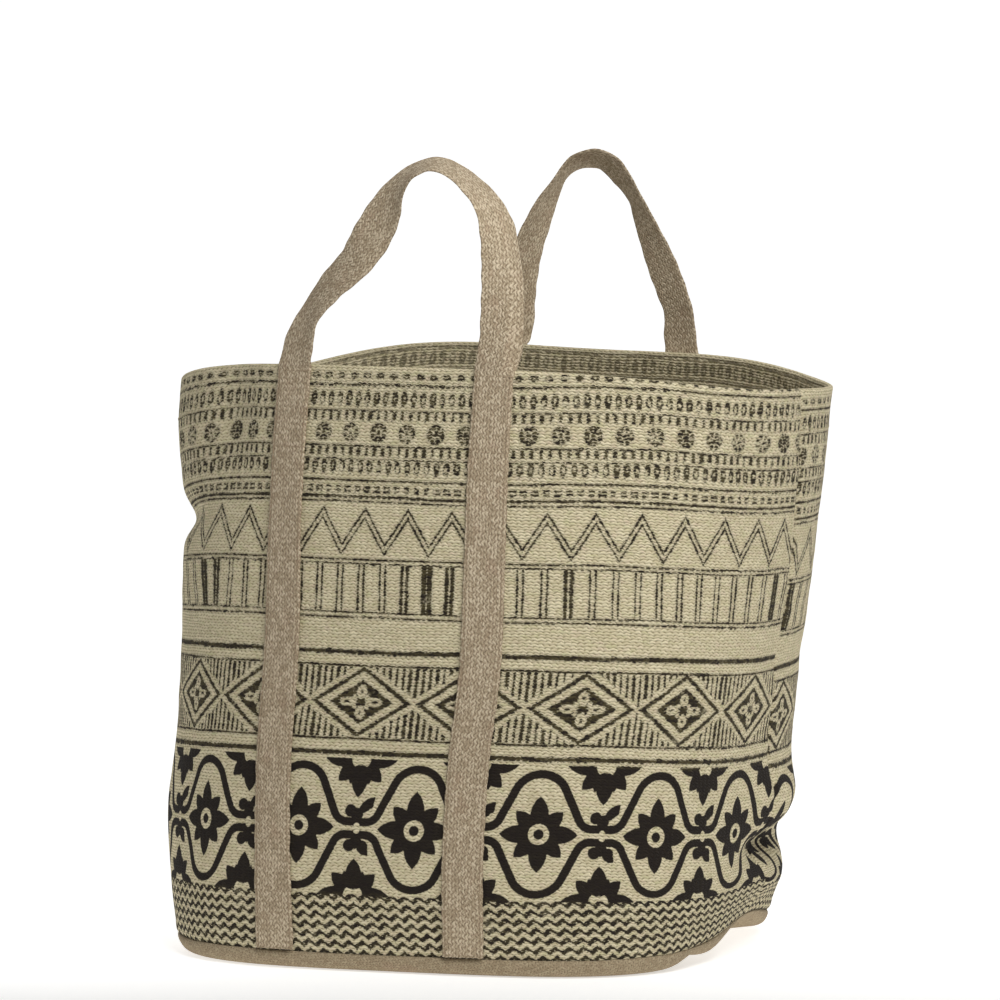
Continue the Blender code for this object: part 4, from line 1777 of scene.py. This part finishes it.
# =============================================================== studio
@dataclass(frozen=True)
class Studio:
    """Pale floor, soft light and the photograph's camera.

    Azimuths are degrees from the front, -Y, towards +X.
    """

    azimuth: float = 25.0
    elevation: float = 3.82
    distance: float = 5.07
    target: tuple = (0.0, 0.0, 0.348)
    lens: float = 234.0
    sensor: float = 36.0
    far: float = 500.0
    floor_reach: float = 60.0
    floor_colour: Colour = (0.82, 0.82, 0.815)
    floor_roughness: float = 0.9
    floor_specular: float = 0.1
    floor_glow: float = 0.92
    glow_fade: tuple = (-0.1, 0.6)
    key_power: float = 16.5
    key_azimuth: float = 43.0
    key_elevation: float = 40.0
    key_distance: float = 1.5
    key_target: tuple = (0.0, 0.0, 0.30)
    key_size: float = 1.0
    sky_even: float = 0.19
    sky_back: float = 0.90
    sky_elevation: float = 15.0

    def direction(self, azimuth: float, elevation: float) -> Vector:
        """Direction from the bag towards a place round it."""
        a, e = math.radians(azimuth), math.radians(elevation)
        return Vector((math.sin(a) * math.cos(e), -math.cos(a) * math.cos(e), math.sin(e)))

    def aimed(self, data: bpy.types.ID, name: str, target: tuple, way: Vector,
              distance: float) -> bpy.types.Object:
        """Add a camera or light that looks back along a direction.

        Args:
            data: the camera or light.
            name: its object's name.
            target: the point that it looks at.
            way: the direction from there towards it.
            distance: how far off it stands.

        Returns:
            Its object.
        """
        made = bpy.data.objects.new(name, data)
        made.location = Vector(target) + way * distance
        made.rotation_euler = way.to_track_quat("Z", "Y").to_euler()
        bpy.context.scene.collection.objects.link(made)
        return made

    @staticmethod
    def parts(graph: Graph, coordinate: str) -> list[Value]:
        """Read a texture coordinate.

        Args:
            graph: the graph that the nodes go into.
            coordinate: the name of the coordinate.

        Returns:
            Its X, Y and Z.
        """
        vector = graph.value("ShaderNodeTexCoord", None, None, coordinate)
        split = graph.node("ShaderNodeSeparateXYZ", None, {0: vector})
        return [Value(graph, output) for output in split.outputs]

    def floor(self) -> None:
        """Lay the floor, which glows a little behind the bag."""
        material = bpy.data.materials.new("studio_floor")
        material.use_nodes = True
        graph = Graph(material.node_tree)
        x, y, _ = self.parts(graph, "Object")
        ahead = self.direction(self.azimuth, 0.0)
        nearer = x * ahead.x + y * ahead.y
        glow = graph.blend(nearer.soft(*self.glow_fade), self.floor_colour, (0.0, 0.0, 0.0))
        shader = graph.node("ShaderNodeBsdfPrincipled", None,
                            {"Base Color": self.floor_colour, "Roughness": self.floor_roughness,
                             "Specular IOR Level": self.floor_specular, "Emission Color": glow,
                             "Emission Strength": self.floor_glow})
        graph.node("ShaderNodeOutputMaterial", None, {"Surface": shader.outputs[0]})
        reach = self.floor_reach
        corners = [(-reach, -reach, 0), (reach, -reach, 0), (reach, reach, 0), (-reach, reach, 0)]
        mesh = bpy.data.meshes.new("studio_floor")
        mesh.from_pydata(corners, [], [(0, 1, 2, 3)])
        mesh.materials.append(material)
        made = bpy.data.objects.new("studio_floor", mesh)
        bpy.context.scene.collection.objects.link(made)

    def sky(self) -> None:
        """Light the room softly, brightest behind the bag."""
        world = bpy.data.worlds.new("studio")
        bpy.context.scene.world = world
        world.use_nodes = True
        graph = Graph(world.node_tree)
        behind = self.direction(self.azimuth + 180.0, self.sky_elevation)
        x, y, z = self.parts(graph, "Generated")
        facing = graph.most(x * behind.x + y * behind.y + z * behind.z, 0.0)
        strength = facing * facing * self.sky_back + self.sky_even
        light = graph.node("ShaderNodeBackground", None,
                           {"Color": (1.0, 1.0, 1.0), "Strength": strength})
        graph.node("ShaderNodeOutputWorld", None, {"Surface": light.outputs[0]})

    def build(self) -> None:
        """Set up the floor, the lights and the camera."""
        self.floor()
        self.sky()
        key = bpy.data.lights.new("key", "AREA")
        key.shape = "DISK"
        key.size = self.key_size
        key.energy = self.key_power
        self.aimed(key, "key", self.key_target,
                   self.direction(self.key_azimuth, self.key_elevation), self.key_distance)
        camera = bpy.data.cameras.new("camera")
        camera.sensor_width = self.sensor
        camera.lens = self.lens
        camera.clip_end = self.far
        scene = bpy.context.scene
        scene.camera = self.aimed(camera, "camera", self.target,
                                  self.direction(self.azimuth, self.elevation), self.distance)
        scene.view_settings.view_transform = "Standard"


# =============================================================== the bag
class Bag:
    """The whole bag: its pieces, dressed and tied to the model that carries them."""

    HEM_STITCH_INSET = 0.004
    HEM_STITCH_SINK = 0.0001
    HEM_MARKS = 240

    def __init__(self) -> None:
        """Name the pieces and their sizes."""
        left, right = SIDE_SEAM_SHIFT - GIRTH / 4, SIDE_SEAM_SHIFT + GIRTH / 4
        self.panels = (
            ClothPanel("body_front_panel", left, right, 0.0, 0.0),
            ClothPanel("body_back_panel", right, SIDE_SEAM_SHIFT + 3 * (GIRTH / 4), 0.011, 0.021),
        )
        self.base = BasePanel()
        self.handles = (
            Webbing("handle_front", Leg(-0.095, -0.082), Leg(0.057, 0.098), FRONT_ARCH, 1,
                    (Crease(0.725, 0.850, -0.30, 38.0),)),
            Webbing("handle_back", Leg(GIRTH / 2 + 0.100, GIRTH / 2 + 0.104),
                    Leg(GIRTH / 2 - 0.064, GIRTH / 2 - 0.058), BACK_ARCH, -1, ()),
        )

    @staticmethod
    def carry(piece: bpy.types.Object, slot: str, *nodes: str) -> bpy.types.Object:
        """Tie a piece to the model.

        Args:
            piece: the finished piece.
            slot: the material slot of the record that it belongs to; not used.
            nodes: the solids that it stands for.

        Returns:
            The piece.
        """
        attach(piece, ROOT)
        if nodes:
            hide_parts(*nodes)
        LOG.info("%s: %d faces", piece.name, len(piece.data.polygons))
        return piece

    def hem_path(self) -> list[Path]:
        """Path of the stitches that hold the hem, on the outside of both panels.

        Returns:
            The paths, with the outward direction at each point.
        """
        paths = []
        for panel in self.panels:
            around = np.linspace(panel.start + self.HEM_STITCH_INSET,
                                 panel.end - self.HEM_STITCH_INSET, self.HEM_MARKS)
            paths.append(cloth_at(around, HEM_EDGE + self.HEM_STITCH_INSET, -self.HEM_STITCH_SINK))
        return paths

    def build(self) -> None:
        """Make, dress and tie every piece."""
        burlap, jute = PrintedBurlap().material(), PlainJute().material()
        webbing, thread = JuteWebbing().material(), SewingThread().material()
        hem_stitching = Stitching("hem_stitches", pitch=0.0052, length=0.0040, radius=0.00034)
        hem = self.carry(hem_stitching.build(self.hem_path(), HEM_THREAD.material()),
                         "printed_burlap")
        for number, panel in enumerate(self.panels):
            piece = self.carry(panel.build(burlap), "printed_burlap", panel.node)
            panel.flat()
        base = self.carry(self.base.build(jute), "plain_jute", self.base.node)
        for handle in self.handles:
            piece = self.carry(handle.build(webbing), "jute_webbing", handle.node)
            stitching = Stitching(handle.node.replace("handle", "strap_stitches"))
            stitches = self.carry(stitching.build(handle.seams(), thread), "jute_webbing")
            panel_piece = handle.node.replace("handle", "printed") + "_panel"


def main() -> None:
    """Build the studio and the bag."""
    logging.basicConfig(level=logging.INFO, format="%(name)s %(message)s")
    Studio().build()
    Bag().build()


if __name__ == "__main__":
    main()
